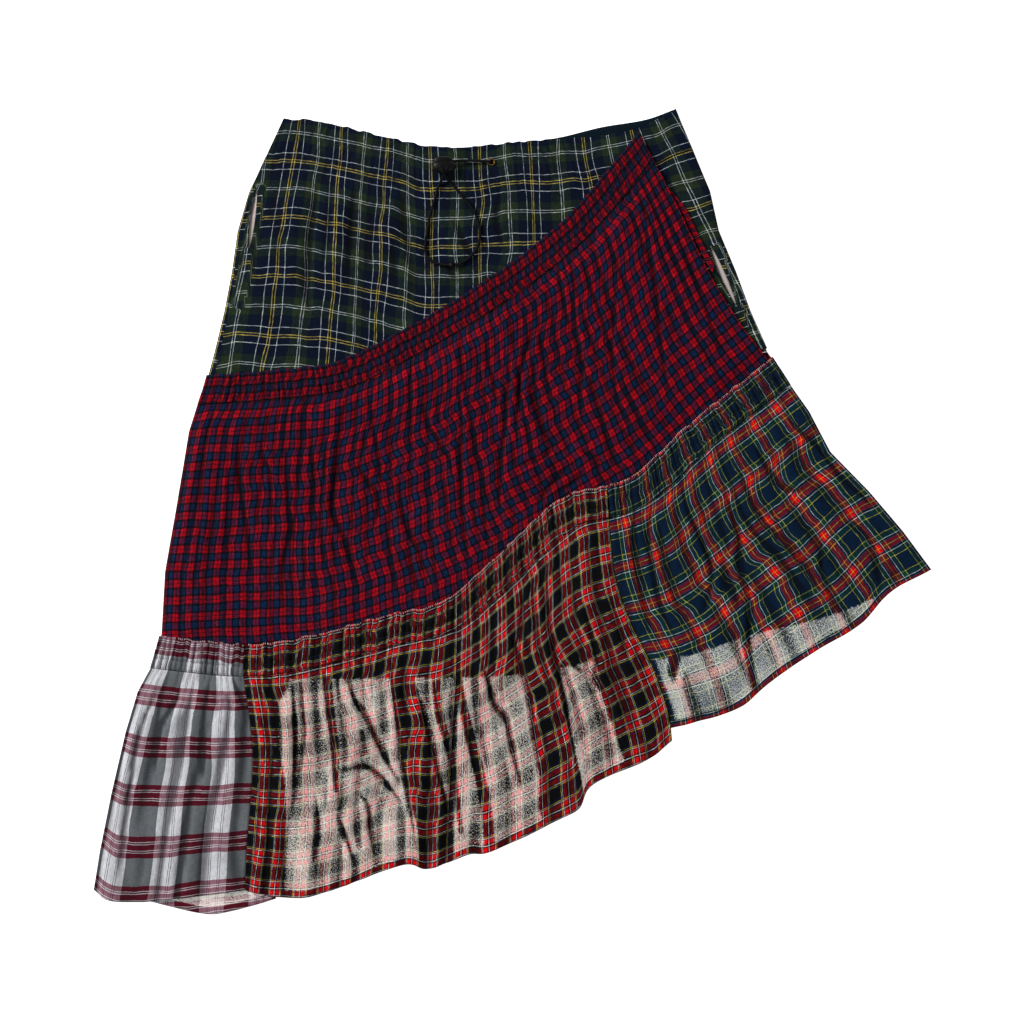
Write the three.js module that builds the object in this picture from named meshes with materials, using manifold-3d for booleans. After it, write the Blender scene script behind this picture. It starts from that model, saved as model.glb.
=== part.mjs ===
// A tiered midi skirt of patchwork checks, laid flat with its front up: an elastic waist with a drawcord,
// a short yoke, and two gathered tiers that are set on at a slant.
// Millimetres. +X runs to the right across the front, +Y from hem to waist, +Z up off the surface.
import * as THREE from "three";
import { mergeVertices } from "three/addons/utils/BufferGeometryUtils.js";
import Module from "manifold-3d";

const wasm = await Module();
wasm.setup();

// Driving sizes
const CLOTH = 1.2; // one ply of shirt cloth
const CASING = 1.8; // two plies round a flat elastic
const PLY_GAP = 0.3; // between plies that lie on each other
const SEAM_GAP = 0.35; // between pieces sewn edge to edge
const WAIST_DEPTH = 38;
const TIER2_CASING_DEPTH = 29;
const TIER3_CASING_DEPTH = 32;
const TIER3_LAP = 9; // how far the last tier's casing lies over the tier above
const SIDE_HEM = 5.5; // turned hem that shows beside tier 2's loose edge

// Gathers
const WAIST_PUCKERS = 36;
const TIER2_PUCKERS = 60;
const TIER3_PUCKERS = { grey: 12, black_a: 15, black_b: 14, green: 15 };
const PUCKER_HEIGHT = 1.1;
const TIER2_FOLDS = 26;
const TIER2_FOLD_HEIGHT = 4.2;
const TIER3_FOLD_HEIGHT = 5.4;

// Drawcord and its fittings
const CORD_RADIUS = 1.35;
const CORD_SIDES = 8;
const CORD_STEP = 6.5;
const BORE_CLEARANCE = 0.3;
const EYELET = { bore: 1.75, barrel: 2.15, flange: 3.75, rim: 0.8 };
const EYELETS = { right: [-21.5, 349], left: [-76, 350.5] };
const LOCK = { x: -68.8, y: 343.6, width: 23, height: 14, depth: 8.4, cap: 4.4, groove: 0.4 };
const BEAD = { x: -61.2, y: 245.8, radius: 3.3 };

// Heights of the plies
const ON_BACK = CLOTH + PLY_GAP;
const ON_BACK_CASING = CASING + PLY_GAP;
const ONE_PLY = CLOTH + 1.7 * PLY_GAP; // a ply and its air, where both plies are drawn on coarse grids
const BAG = 1.0;
const DRAPE = 24; // how far a ply takes to come down off the edge of the ply below
const PRESSED = 11; // radius of cloth pressed flat round a fitting

const COLOURS = {
  yoke: 0x1d2b33,
  tier2: 0x5c1228,
  grey: 0x8a8488,
  black: 0x3a1a18,
  green: 0x2a3b38,
  pocket: 0xb9aba8,
  brass: 0xb08a3c,
  plastic: 0x0c0d0d,
  cord: 0x101010,
};

// The side edges at each level, from the waist down. Columns: y, x.
const LEFT_SIDE = table("y x", [
  [392.5, -229],
  [354, -247],
  [320, -264],
  [280, -276],
  [240, -282],
  [200, -290],
  [160, -300],
  [120, -311],
  [80, -324],
  [0, -338],
  [-60, -349],
  [-124, -353],
  [-156, -362],
  [-180, -375],
  [-220, -387],
  [-280, -401],
  [-340, -413],
  [-378, -419],
]);
const RIGHT_SIDE = table("y x", [
  [401, 164],
  [363, 179],
  [320, 197],
  [280, 206],
  [240, 223],
  [200, 238],
  [160, 256],
  [128, 276],
  [100, 296],
  [60, 317],
  [20, 356],
  [-20, 390],
  [-58, 418],
]);

// Levels at which each seam of the front meets the left and the right side.
const WAIST_TOP_ENDS = [392.5, 401];
const WAIST_SEAM_ENDS = [354, 363];
const TIER2_TOP_LEFT = 135.5;
const TIER2_SEAM_LEFT = 106.5;
const TIER3_SEAM_ENDS = [-156.5, 126];
const HEM_ENDS = [-378, -58];
const CASING_AT_SIDE = 0.14; // share of tier 2's loose edge that its casing takes up

// Lines across the front, from left to right. Columns: x, y.
const WAIST_FRONT = curve([
  [-229, 392.5],
  [-191, 389.5],
  [-141, 377.5],
  [-85, 365.5],
  [-43, 364.5],
  [2, 369],
  [92, 375.5],
  [127, 384],
  [163, 400.5],
]);
const YOKE_HEM = curve([
  [-313, 81.5],
  [-183, 79.5],
  [-33, 61.5],
  [50, 78],
  [127, 117],
  [187, 152],
  [254, 163],
]);
const TIER2_TOP = curve([
  [-306, 135.5],
  [-237, 141.5],
  [-179, 149.5],
  [-109, 182.5],
  [-23, 234.5],
  [47, 288],
  [89, 334.5],
  [125, 378.5],
]);
const TIER2_SIDE = curve([
  [125, 378.5],
  [143, 345.5],
  [166, 302.5],
  [195, 244.5],
  [227, 195.5],
  [255.5, 160.5],
]);
const TIER3_TOP = curve([
  [-353, -124.5],
  [-268, -132.5],
  [-219, -127.5],
  [-127, -103.5],
  [-72, -90],
  [-35, -61.5],
  [40, 7.5],
  [60, 18.5],
  [113, 32.5],
  [179, 90.5],
  [259, 154.5],
]);

// Lines across the back, which ends lower at the left and higher in the middle than the front does.
const WAIST_BACK = curve([
  [-229, 390.5],
  [-191, 387.5],
  [-141, 375.5],
  [-85, 363.5],
  [-43, 362.5],
  [2, 367],
  [47, 374],
  [88, 384],
  [134, 392],
  [163, 402.5],
]);
const TIER2_TOP_BACK = curve([
  [-305, 134],
  [-100, 118],
  [80, 124],
  [254, 160],
]);
const TIER3_TOP_BACK = curve([
  [-352, -126],
  [-150, -76],
  [60, 2],
  [272, 126],
]);
const GREY_HEM_BACK = curve([
  [-414, -374],
  [-385, -384],
  [-358, -391],
  [-313, -401.5],
  [-298, -402.5],
  [-260, -394],
  [-237, -387],
]);
const GREEN_HEM_BACK = curve([
  [-236, -166],
  [12, -160.5],
  [87, -147],
  [167, -143.5],
  [232, -123.5],
  [322, -100.5],
  [412, -61],
]);
const BACK_SPLIT = -236.5; // where the back's long grey panel ends

// Tier 3's panels along its front: where each one's right seam meets the casing's top, that seam below the casing,
// its hem and its ruffle waves. Columns of a seam and a hem: x, y.
const TIER3_PANELS = [
  {
    name: "grey",
    untilX: -268.5,
    folds: 4,
    seam: [
      [-269, -163],
      [-262.3, -212.5],
      [-260, -250],
      [-266, -338],
      [-268, -378.5],
    ],
    hem: [
      [-419, -378],
      [-405, -388],
      [-375, -390],
      [-341, -387.5],
      [-268, -378.5],
    ],
  },
  {
    name: "black_a",
    untilX: -56,
    folds: 7,
    seam: [
      [-55.5, -125],
      [-57, -178.5],
      [-62, -248.5],
      [-65, -351],
    ],
    hem: [
      [-268, -379],
      [-237, -384.5],
      [-208, -385.5],
      [-178, -377.5],
      [-103, -352.5],
      [-88, -357.5],
      [-65, -351],
    ],
  },
  {
    name: "black_b",
    untilX: 94,
    folds: 6,
    seam: [
      [96, -9],
      [103, -67.5],
      [119, -113.5],
      [139, -153.5],
      [156, -203.5],
      [159, -229],
    ],
    hem: [
      [-64.5, -351],
      [-43, -342.5],
      [-28, -341.5],
      [47, -307.5],
      [66, -297],
      [77, -275.5],
      [137, -246.5],
      [159, -229],
    ],
  },
  {
    name: "green",
    untilX: Infinity,
    folds: 7,
    seam: null,
    hem: [
      [159.5, -216.5],
      [182, -210.5],
      [227, -195.5],
      [257, -170.5],
      [302, -139.5],
      [347, -112.5],
      [377, -80.5],
      [418, -58],
    ],
  },
];

// Soft drapes in the yoke. Columns: x at the waist and at the tier, height, half width, top and bottom level.
const YOKE_DRAPES = table("top bottom height spread from until", [
  [-214, -236, 2.2, 19, 345, 190],
  [-166, -186, 2.8, 17, 338, 195],
  [-124, -138, 2.6, 16, 330, 215],
  [24, 16, 2.6, 16, 325, 300],
  [128, 150, 1.4, 13, 330, 300],
]);

// Pocket bags behind the side slits: centre, half sizes and lean of each, with the slit's two ends and width.
const POCKETS = [
  {
    name: "left",
    bag: { x: -230, y: 238, halfWidth: 44, halfHeight: 78, lean: -12.5 },
    slit: { from: [-256, 323], to: [-263.5, 263], width: 3.6 },
  },
  {
    name: "right",
    bag: { x: 178, y: 221, halfWidth: 40, halfHeight: 56, lean: 21.3 },
    slit: { from: [197.5, 264.5], to: [223, 205.5], width: 5.2 },
  },
];

// Routes of the drawcord, chosen by hand. Columns: x, y, z.
const WAIST_CORD = [
  [-60.5, 348.4, 9.4],
  [-55.5, 349.3, 8.6],
  [-45, 350, 6.9],
  [-34, 349.8, 6.6],
  [-26.6, 349.2, 6.9],
  [-22.9, 349, 6.3],
  [-21.6, 349, 4.9],
  [-21.5, 349, 3.2],
];
const LEFT_STRAND = [
  [-64.6, 345.6, 9.6],
  [-65.2, 342.2, 13.2],
  [-66.6, 338.2, 12.2],
  [-69.6, 333.6, 8.8],
  [-74.6, 323.7, 5.8],
  [-78.9, 309.3, 4.7],
  [-82.7, 296.9, 4.6],
  [-85.6, 280.6, 4.6],
  [-87.5, 266.3, 4.6],
  [-86, 254.8, 4.7],
  [-79.8, 249, 5],
  [-71, 246.4, 5.8],
  [-64.9, 245.9, 6.3],
];
const RIGHT_STRAND = [
  [-73.2, 345.6, 9.6],
  [-72.4, 342.4, 13.2],
  [-70.4, 338.6, 14.8],
  [-67.9, 334.6, 12.9],
  [-59.7, 325.6, 6],
  [-50.2, 314.1, 4.7],
  [-40.6, 302.6, 4.6],
  [-34.9, 290.2, 4.6],
  [-32.9, 277.7, 4.6],
  [-34.9, 265.3, 4.6],
  [-40.6, 256.7, 4.7],
  [-48.3, 250, 5],
  [-53.5, 247.2, 5.8],
  [-57.5, 246.2, 6.3],
];

// Tables and curves

function table(columns, rows) {
  const names = columns.split(" ");
  return rows.map((row) => Object.fromEntries(names.map((name, i) => [name, row[i]])));
}

// A smooth line through x, y points, read by its share of length.
function curve(points) {
  const line = new THREE.CatmullRomCurve3(
    points.map(([x, y]) => new THREE.Vector3(x, y, 0)),
    false,
    "centripetal",
  );
  return (u) => line.getPointAt(THREE.MathUtils.clamp(u, 0, 1));
}

function stretch(line, from, to) {
  return (u) => line(from + (to - from) * u);
}

// The line that runs beside another, on its lower side.
function beside(line, distance) {
  const reach = 0.004;
  return (u) => {
    const along = line(Math.min(u + reach, 1)).sub(line(Math.max(u - reach, 0)));
    along.setLength(distance);
    return line(u).add(new THREE.Vector3(along.y, -along.x, 0));
  };
}

// A line whose two ends are moved to given points, easing back to its own course.
function joined(line, start, end) {
  const [atStart, atEnd] = [start.clone().sub(line(0)), end.clone().sub(line(1))];
  return (u) =>
    line(u)
      .addScaledVector(atStart, (1 - u) ** 12)
      .addScaledVector(atEnd, u ** 12);
}

// A line whose ends are moved to the side edges at two levels.
function toSides(line, leftY, rightY) {
  const at = (rows, y) => new THREE.Vector3(levelX(rows, y), y, 0);
  return joined(line, at(LEFT_SIDE, leftY), at(RIGHT_SIDE, rightY));
}

// A line drawn in by a little at its two ends, to leave a gap at the seams there.
function parted(line, atStart, atEnd) {
  return (u) => line(u).add(new THREE.Vector3(atStart * (1 - u) - atEnd * u, 0, 0));
}

function moved(line, x, y) {
  return (u) => line(u).add(new THREE.Vector3(x, y, 0));
}

// A side edge between two levels of its table.
function side(rows, top, bottom) {
  return (v) => {
    const y = THREE.MathUtils.lerp(top, bottom, v);
    return new THREE.Vector3(levelX(rows, y), y, 0);
  };
}

function levelX(rows, y) {
  const lower = rows.findIndex((row) => row.y <= y);
  if (lower === 0) return rows[0].x;
  if (lower < 0) return rows.at(-1).x;
  const [a, b] = [rows[lower - 1], rows[lower]];
  return THREE.MathUtils.mapLinear(y, a.y, b.y, a.x, b.x);
}

// The y of a line at an x, for lines that run from left to right.
function heightOf(line) {
  const samples = Array.from({ length: 161 }, (_, i) => line(i / 160));
  return (x) => {
    const next = samples.findIndex((p) => p.x >= x);
    if (next <= 0) return next === 0 ? samples[0].y : samples.at(-1).y;
    const [a, b] = [samples[next - 1], samples[next]];
    return THREE.MathUtils.mapLinear(x, a.x, b.x, a.y, b.y);
  };
}

// The share of its length at which a line that runs from left to right reaches an x.
function shareAt(line, x) {
  const steps = 800;
  const reached = Array.from({ length: steps + 1 }, (_, i) => i / steps).find((u) => line(u).x >= x);
  return reached ?? 1;
}

// The sheet between four edges: u runs along the top and bottom, v down the sides.
function sheet({ top, bottom, left, right }) {
  const corners = [top(0), top(1), bottom(0), bottom(1)];
  const pinned = (edge, from, to) => (v) =>
    edge(v)
      .addScaledVector(from.clone().sub(edge(0)), 1 - v)
      .addScaledVector(to.clone().sub(edge(1)), v);
  const leftEdge = pinned(left, corners[0], corners[2]);
  const rightEdge = pinned(right, corners[1], corners[3]);
  return (u, v) => {
    const across = top(u).lerp(bottom(u), v);
    const down = leftEdge(v).lerp(rightEdge(v), u);
    const flat = corners[0].clone().lerp(corners[1], u).lerp(corners[2].clone().lerp(corners[3], u), v);
    return across.add(down).sub(flat);
  };
}

function straight(from, to) {
  return (v) => from.clone().lerp(to, v);
}

function smooth(t) {
  return THREE.MathUtils.smoothstep(t, 0, 1);
}

// Solids

function solid(geometry) {
  const bare = geometry.clone();
  bare.deleteAttribute("normal");
  bare.deleteAttribute("uv");
  const merged = mergeVertices(bare, 1e-4);
  return new wasm.Manifold(
    new wasm.Mesh({
      numProp: 3,
      vertProperties: new Float32Array(merged.attributes.position.array),
      triVerts: new Uint32Array(merged.index.array),
    }),
  );
}

function geometryOf(manifold) {
  const { vertProperties, triVerts } = manifold.getMesh();
  return new THREE.BufferGeometry()
    .setAttribute("position", new THREE.BufferAttribute(vertProperties, 3))
    .setIndex(new THREE.BufferAttribute(triVerts, 1));
}

// A cloth wall on a grid. surface(u, v) is its underside, and its upper side is one thickness above.
function wall(surface, columns, rows, thickness) {
  const position = [];
  const index = [];
  const across = columns + 1;
  const layer = across * (rows + 1);
  for (const lift of [0, thickness])
    for (let j = 0; j <= rows; j++)
      for (let i = 0; i <= columns; i++) {
        const p = surface(i / columns, j / rows);
        position.push(p.x, p.y, p.z + lift);
      }
  const quad = (a, b, c, d) => index.push(a, b, c, a, c, d);
  for (let j = 0; j < rows; j++)
    for (let i = 0; i < columns; i++) {
      const a = j * across + i;
      const b = a + across;
      quad(a + layer, b + layer, b + 1 + layer, a + 1 + layer);
      quad(a + 1, b + 1, b, a);
    }
  const rim = rimOf(columns, rows);
  rim.forEach((p, i) => {
    const q = rim[(i + 1) % rim.length];
    quad(p, q, q + layer, p + layer);
  });
  return new THREE.BufferGeometry()
    .setAttribute("position", new THREE.Float32BufferAttribute(position, 3))
    .setIndex(index);
}

// The grid's outer points, in turn: down the left, along the bottom, up the right, back along the top.
function rimOf(columns, rows) {
  const across = columns + 1;
  const rim = [];
  for (let j = 0; j < rows; j++) rim.push(j * across);
  for (let i = 0; i < columns; i++) rim.push(rows * across + i);
  for (let j = rows; j > 0; j--) rim.push(j * across + columns);
  for (let i = columns; i > 0; i--) rim.push(i);
  return rim;
}

function tube(points, radius, sides, step) {
  const path = new THREE.CatmullRomCurve3(points.map((p) => new THREE.Vector3(...p)), false, "centripetal");
  const section = new THREE.Shape();
  for (let i = 0; i < sides; i++) {
    const a = (2 * Math.PI * (i + 0.5)) / sides;
    if (i === 0) section.moveTo(radius * Math.cos(a), radius * Math.sin(a));
    else section.lineTo(radius * Math.cos(a), radius * Math.sin(a));
  }
  section.closePath();
  const steps = Math.max(2, Math.round(path.getLength() / step));
  return new THREE.ExtrudeGeometry(section, { steps, extrudePath: path, bevelEnabled: false });
}

function lathe(profile, segments) {
  const turned = new THREE.LatheGeometry(
    profile.map(([r, z]) => new THREE.Vector2(r, z)),
    segments,
  );
  return turned.rotateX(Math.PI / 2);
}

// Heights that every ply shares

const WAIST_SEAM = toSides(beside(WAIST_FRONT, WAIST_DEPTH), ...WAIST_SEAM_ENDS);
const TIER3_SEAM = toSides(beside(TIER3_TOP, TIER3_CASING_DEPTH), ...TIER3_SEAM_ENDS);
const waistSeamY = heightOf(WAIST_SEAM);
const yokeHemY = heightOf(YOKE_HEM);
const tier2TopY = heightOf(TIER2_TOP);
const backHemY = heightOf(GREEN_HEM_BACK);

// 1 over a pocket bag and a little round it, 0 away from it.
function overBag(x, y, { bag }) {
  const lean = THREE.MathUtils.degToRad(bag.lean);
  const across = (x - bag.x) * Math.cos(lean) + (y - bag.y) * Math.sin(lean);
  const along = (y - bag.y) * Math.cos(lean) - (x - bag.x) * Math.sin(lean);
  const outside = Math.hypot(
    Math.max(Math.abs(across) - bag.halfWidth, 0),
    Math.max(Math.abs(along) - bag.halfHeight, 0),
  );
  return 1 - smooth((outside - DRAPE) / DRAPE);
}

function bagRise(x, y) {
  return (BAG + PLY_GAP) * Math.max(...POCKETS.map((pocket) => overBag(x, y, pocket)));
}

function yokeBase(x, y) {
  return ON_BACK + bagRise(x, y);
}

// The yoke's top lies beside the thicker casing, a little higher than the rest.
function atWaist(v) {
  return (ON_BACK_CASING - ON_BACK) * (1 - smooth(v / 0.09));
}

// Tier 2 lies on the yoke and, at its upper end, on the waist casing. Past the yoke's hem it comes down to the
// back.
function tier2Base(x, y) {
  const past = yokeHemY(x) - y;
  const onCasing = smooth((y - waistSeamY(x) + 26) / 20);
  const casingStep = ON_BACK_CASING + CASING - ON_BACK - CLOTH;
  return yokeBase(x, y) + ONE_PLY * (1 - smooth((past - DRAPE) / DRAPE)) + casingStep * onCasing;
}

// Tier 3's casing lies on tier 2's lower edge.
function tier3CasingBase(x, y) {
  return tier2Base(x, y) + ONE_PLY;
}

// Past the back's hem the front lies on the surface itself.
function tier3Base(x, y, v) {
  const past = Math.min(backHemY(x) - y, x - BACK_SPLIT);
  const down = smooth((past - 1.5 * DRAPE) / DRAPE);
  const lifted = (tier3CasingBase(x, y) - ON_BACK) * (1 - smooth(v / 0.3));
  return (ON_BACK + lifted) * (1 - down) + lifted * down;
}

function drape(x, y) {
  return YOKE_DRAPES.reduce((sum, row) => {
    const t = THREE.MathUtils.mapLinear(y, 350, 150, 0, 1);
    const off = (x - THREE.MathUtils.lerp(row.top, row.bottom, t)) / row.spread;
    if (Math.abs(off) >= 1) return sum;
    const ends = smooth((row.from - y) / 45) * smooth((y - row.until) / 55);
    return sum + row.height * ends * Math.cos((off * Math.PI) / 2) ** 2;
  }, 0);
}

// Folds that hang from a gathering, uneven in height, width and length.
function gathers(count, seed) {
  return (u, v) => {
    const place = u * count + 0.22 * Math.sin(2.3 * u * count + seed) + 0.12 * v * Math.sin(5 * u + seed);
    const uneven = 0.72 + 0.28 * Math.sin(1.7 * place + 2.1 * seed);
    return uneven * (0.5 - 0.5 * Math.cos(2 * Math.PI * place));
  };
}

// 0 at both ends of a share and 1 between, over the given share.
function between(t, ease) {
  return smooth(t / ease) * smooth((1 - t) / ease);
}

function puckers(count) {
  return (u, v) => PUCKER_HEIGHT * (0.5 - 0.5 * Math.cos(2 * Math.PI * count * u)) * (0.6 + 0.4 * v);
}

// Pieces

const garment = new THREE.Group();

function add(name, geometry, colour, { roughness = 0.95, metalness = 0 } = {}) {
  const material = new THREE.MeshStandardMaterial({ color: colour, roughness, metalness });
  const mesh = new THREE.Mesh(geometry, material);
  mesh.name = name;
  garment.add(mesh);
}

function cloth(name, edges, height, columns, rows, thickness, colour) {
  const flat = sheet(edges);
  const surface = (u, v) => {
    const p = flat(u, v);
    return { x: p.x, y: p.y, z: height(p.x, p.y, u, v) };
  };
  add(name, wall(surface, columns, rows, thickness), colour);
}

// The casing is pressed flat round each eyelet, under the lock and where tier 2 lies on it.
function pressed(x, y) {
  const spots = [...Object.values(EYELETS), [LOCK.x, LOCK.y]];
  const underTier = smooth((75 - x) / 25);
  return Math.min(underTier, ...spots.map(([cx, cy]) => smooth((Math.hypot(x - cx, y - cy) - PRESSED) / PRESSED)));
}

function waistCasingFront() {
  const flat = sheet({
    top: WAIST_FRONT,
    bottom: WAIST_SEAM,
    left: side(LEFT_SIDE, WAIST_TOP_ENDS[0], WAIST_SEAM_ENDS[0]),
    right: side(RIGHT_SIDE, WAIST_TOP_ENDS[1], WAIST_SEAM_ENDS[1]),
  });
  const pucker = puckers(WAIST_PUCKERS);
  const surface = (u, v) => {
    const p = flat(u, v);
    return { x: p.x, y: p.y, z: ON_BACK_CASING + pucker(u, v) * pressed(p.x, p.y) };
  };
  const band = solid(wall(surface, 2 * WAIST_PUCKERS, 3, CASING));
  const pierced = Object.values(EYELETS).reduce((body, [x, y]) => {
    const radius = EYELET.barrel + BORE_CLEARANCE;
    const hole = new THREE.CylinderGeometry(radius, radius, 12, 16);
    hole.rotateX(Math.PI / 2).translate(x, y, ON_BACK_CASING);
    return body.subtract(solid(hole));
  }, band);
  add("waist_casing_front", geometryOf(pierced), COLOURS.yoke);
}

// A slit is a narrow leaf between its two ends.
function slitCutter({ from, to, width }) {
  const [a, b] = [new THREE.Vector2(...from), new THREE.Vector2(...to)];
  const across = b.clone().sub(a).rotateAround(new THREE.Vector2(), Math.PI / 2).setLength(width / 2);
  const quarter = (t, s) => a.clone().lerp(b, t).addScaledVector(across, s);
  const outline = [a, quarter(0.25, 0.8), quarter(0.55, 1), b, quarter(0.55, -1), quarter(0.25, -0.8)];
  const leaf = new THREE.Shape(outline);
  return solid(new THREE.ExtrudeGeometry(leaf, { depth: 20, bevelEnabled: false }));
}

function yokeFront() {
  const flat = sheet({
    top: moved(WAIST_SEAM, 0, -SEAM_GAP),
    bottom: YOKE_HEM,
    left: side(LEFT_SIDE, WAIST_SEAM_ENDS[0], YOKE_HEM(0).y),
    right: side(RIGHT_SIDE, WAIST_SEAM_ENDS[1], YOKE_HEM(1).y),
  });
  const surface = (u, v) => {
    const p = flat(u, v);
    const clearOfTier = smooth((p.y - tier2TopY(p.x) - 8) / 30);
    const nearSide = between(u, 0.07);
    const z = yokeBase(p.x, p.y) + atWaist(v) + drape(p.x, p.y) * clearOfTier * nearSide;
    return { x: p.x, y: p.y, z };
  };
  const panel = solid(wall(surface, 34, 11, CLOTH));
  const slashed = POCKETS.reduce((body, { slit }) => body.subtract(slitCutter(slit)), panel);
  add("yoke_front", geometryOf(slashed), COLOURS.yoke);
}

function pocketBag({ name, bag }) {
  const corner = 14;
  const [w, h] = [bag.halfWidth - corner, bag.halfHeight - corner];
  const outline = new THREE.Shape();
  outline.absarc(w, h, corner, 0, Math.PI / 2);
  outline.absarc(-w, h, corner, Math.PI / 2, Math.PI);
  outline.absarc(-w, -h, corner, Math.PI, 1.5 * Math.PI);
  outline.absarc(w, -h, corner, 1.5 * Math.PI, 2 * Math.PI);
  const sack = new THREE.ExtrudeGeometry(outline, { depth: BAG, bevelEnabled: false, curveSegments: 4 });
  sack.rotateZ(THREE.MathUtils.degToRad(bag.lean)).translate(bag.x, bag.y, ON_BACK);
  add(`pocket_bag_${name}`, sack, COLOURS.pocket);
}

function tier2Front() {
  const pucker = puckers(TIER2_PUCKERS);
  const fold = gathers(TIER2_FOLDS, 1.3);
  const seamStart = new THREE.Vector3(levelX(LEFT_SIDE, TIER2_SEAM_LEFT), TIER2_SEAM_LEFT, 0);
  const seam = joined(beside(TIER2_TOP, TIER2_CASING_DEPTH), seamStart, TIER2_SIDE(CASING_AT_SIDE));
  const lapped = joined(
    beside(TIER3_TOP, TIER3_LAP),
    TIER3_TOP(0).add(new THREE.Vector3(0, -TIER3_LAP, 0)),
    TIER3_TOP(1).add(new THREE.Vector3(-3, -4.5, 0)),
  );
  cloth(
    "tier2_casing_front",
    {
      top: TIER2_TOP,
      bottom: seam,
      left: side(LEFT_SIDE, TIER2_TOP_LEFT, TIER2_SEAM_LEFT),
      right: stretch(TIER2_SIDE, 0, CASING_AT_SIDE),
    },
    (x, y, u, v) => tier2Base(x, y) + pucker(u, v),
    2 * TIER2_PUCKERS,
    2,
    CASING,
    COLOURS.tier2,
  );
  cloth(
    "tier2_front",
    {
      top: moved(seam, 0, -SEAM_GAP),
      bottom: lapped,
      left: side(LEFT_SIDE, TIER2_SEAM_LEFT, lapped(0).y),
      right: stretch(TIER2_SIDE, CASING_AT_SIDE, 1),
    },
    (x, y, u, v) => {
      const length = smooth(v / 0.1) * smooth((0.87 - v) / 0.2) * (1 - 0.45 * v);
      return tier2Base(x, y) + TIER2_FOLD_HEIGHT * fold(u, v) * length * between(u, 0.03);
    },
    3 * TIER2_FOLDS,
    7,
    CLOTH,
    COLOURS.tier2,
  );
}

// The strip of turned hem, from its outer edge to the edge of tier 2.
function tier2SideHem() {
  const line = stretch(TIER2_SIDE, 0.16, 0.62);
  const outer = moved(line, SIDE_HEM + SEAM_GAP, 1);
  const inner = moved(line, SEAM_GAP, 0);
  cloth(
    "tier2_side_hem",
    { top: outer, bottom: inner, left: straight(outer(0), inner(0)), right: straight(outer(1), inner(1)) },
    (x, y) => tier2Base(x, y),
    12,
    1,
    CLOTH,
    COLOURS.tier2,
  );
}

function tier3Front() {
  const half = SEAM_GAP / 2;
  let from = { top: 0, bottom: 0 };
  let leftSeam = side(LEFT_SIDE, TIER3_SEAM_ENDS[0], HEM_ENDS[0]);
  TIER3_PANELS.forEach(({ name, untilX, folds, seam, hem }, i) => {
    const first = i === 0;
    const last = seam === null;
    const until = last
      ? { top: 1, bottom: 1 }
      : { top: shareAt(TIER3_TOP, untilX), bottom: shareAt(TIER3_SEAM, seam[0][0]) };
    const part = (line, at) => parted(stretch(line, from[at], until[at]), first ? 0 : half, last ? 0 : half);
    const [top, bottom] = [part(TIER3_TOP, "top"), part(TIER3_SEAM, "bottom")];
    const colour = COLOURS[name.split("_")[0]];
    const pucker = puckers(TIER3_PUCKERS[name]);
    cloth(
      `tier3_casing_${name}_front`,
      { top, bottom, left: straight(top(0), bottom(0)), right: straight(top(1), bottom(1)) },
      (x, y, u, v) => tier3CasingBase(x, y) + pucker(u, v),
      2 * TIER3_PUCKERS[name],
      2,
      CASING,
      colour,
    );
    const fold = gathers(folds, i + 0.4);
    const rightSeam = last ? side(RIGHT_SIDE, TIER3_SEAM_ENDS[1], HEM_ENDS[1]) : curve(seam);
    cloth(
      `tier3_${name}_front`,
      {
        top: moved(bottom, 0, -SEAM_GAP),
        bottom: parted(curve(hem), first ? 0 : half, last ? 0 : half),
        left: leftSeam,
        right: rightSeam,
      },
      (x, y, u, v) => tier3Base(x, y, v) + TIER3_FOLD_HEIGHT * fold(u, v) * smooth(v / 0.22) * between(u, 0.1),
      4 * folds,
      7,
      CLOTH,
      colour,
    );
    from = until;
    leftSeam = rightSeam;
  });
}

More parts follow.
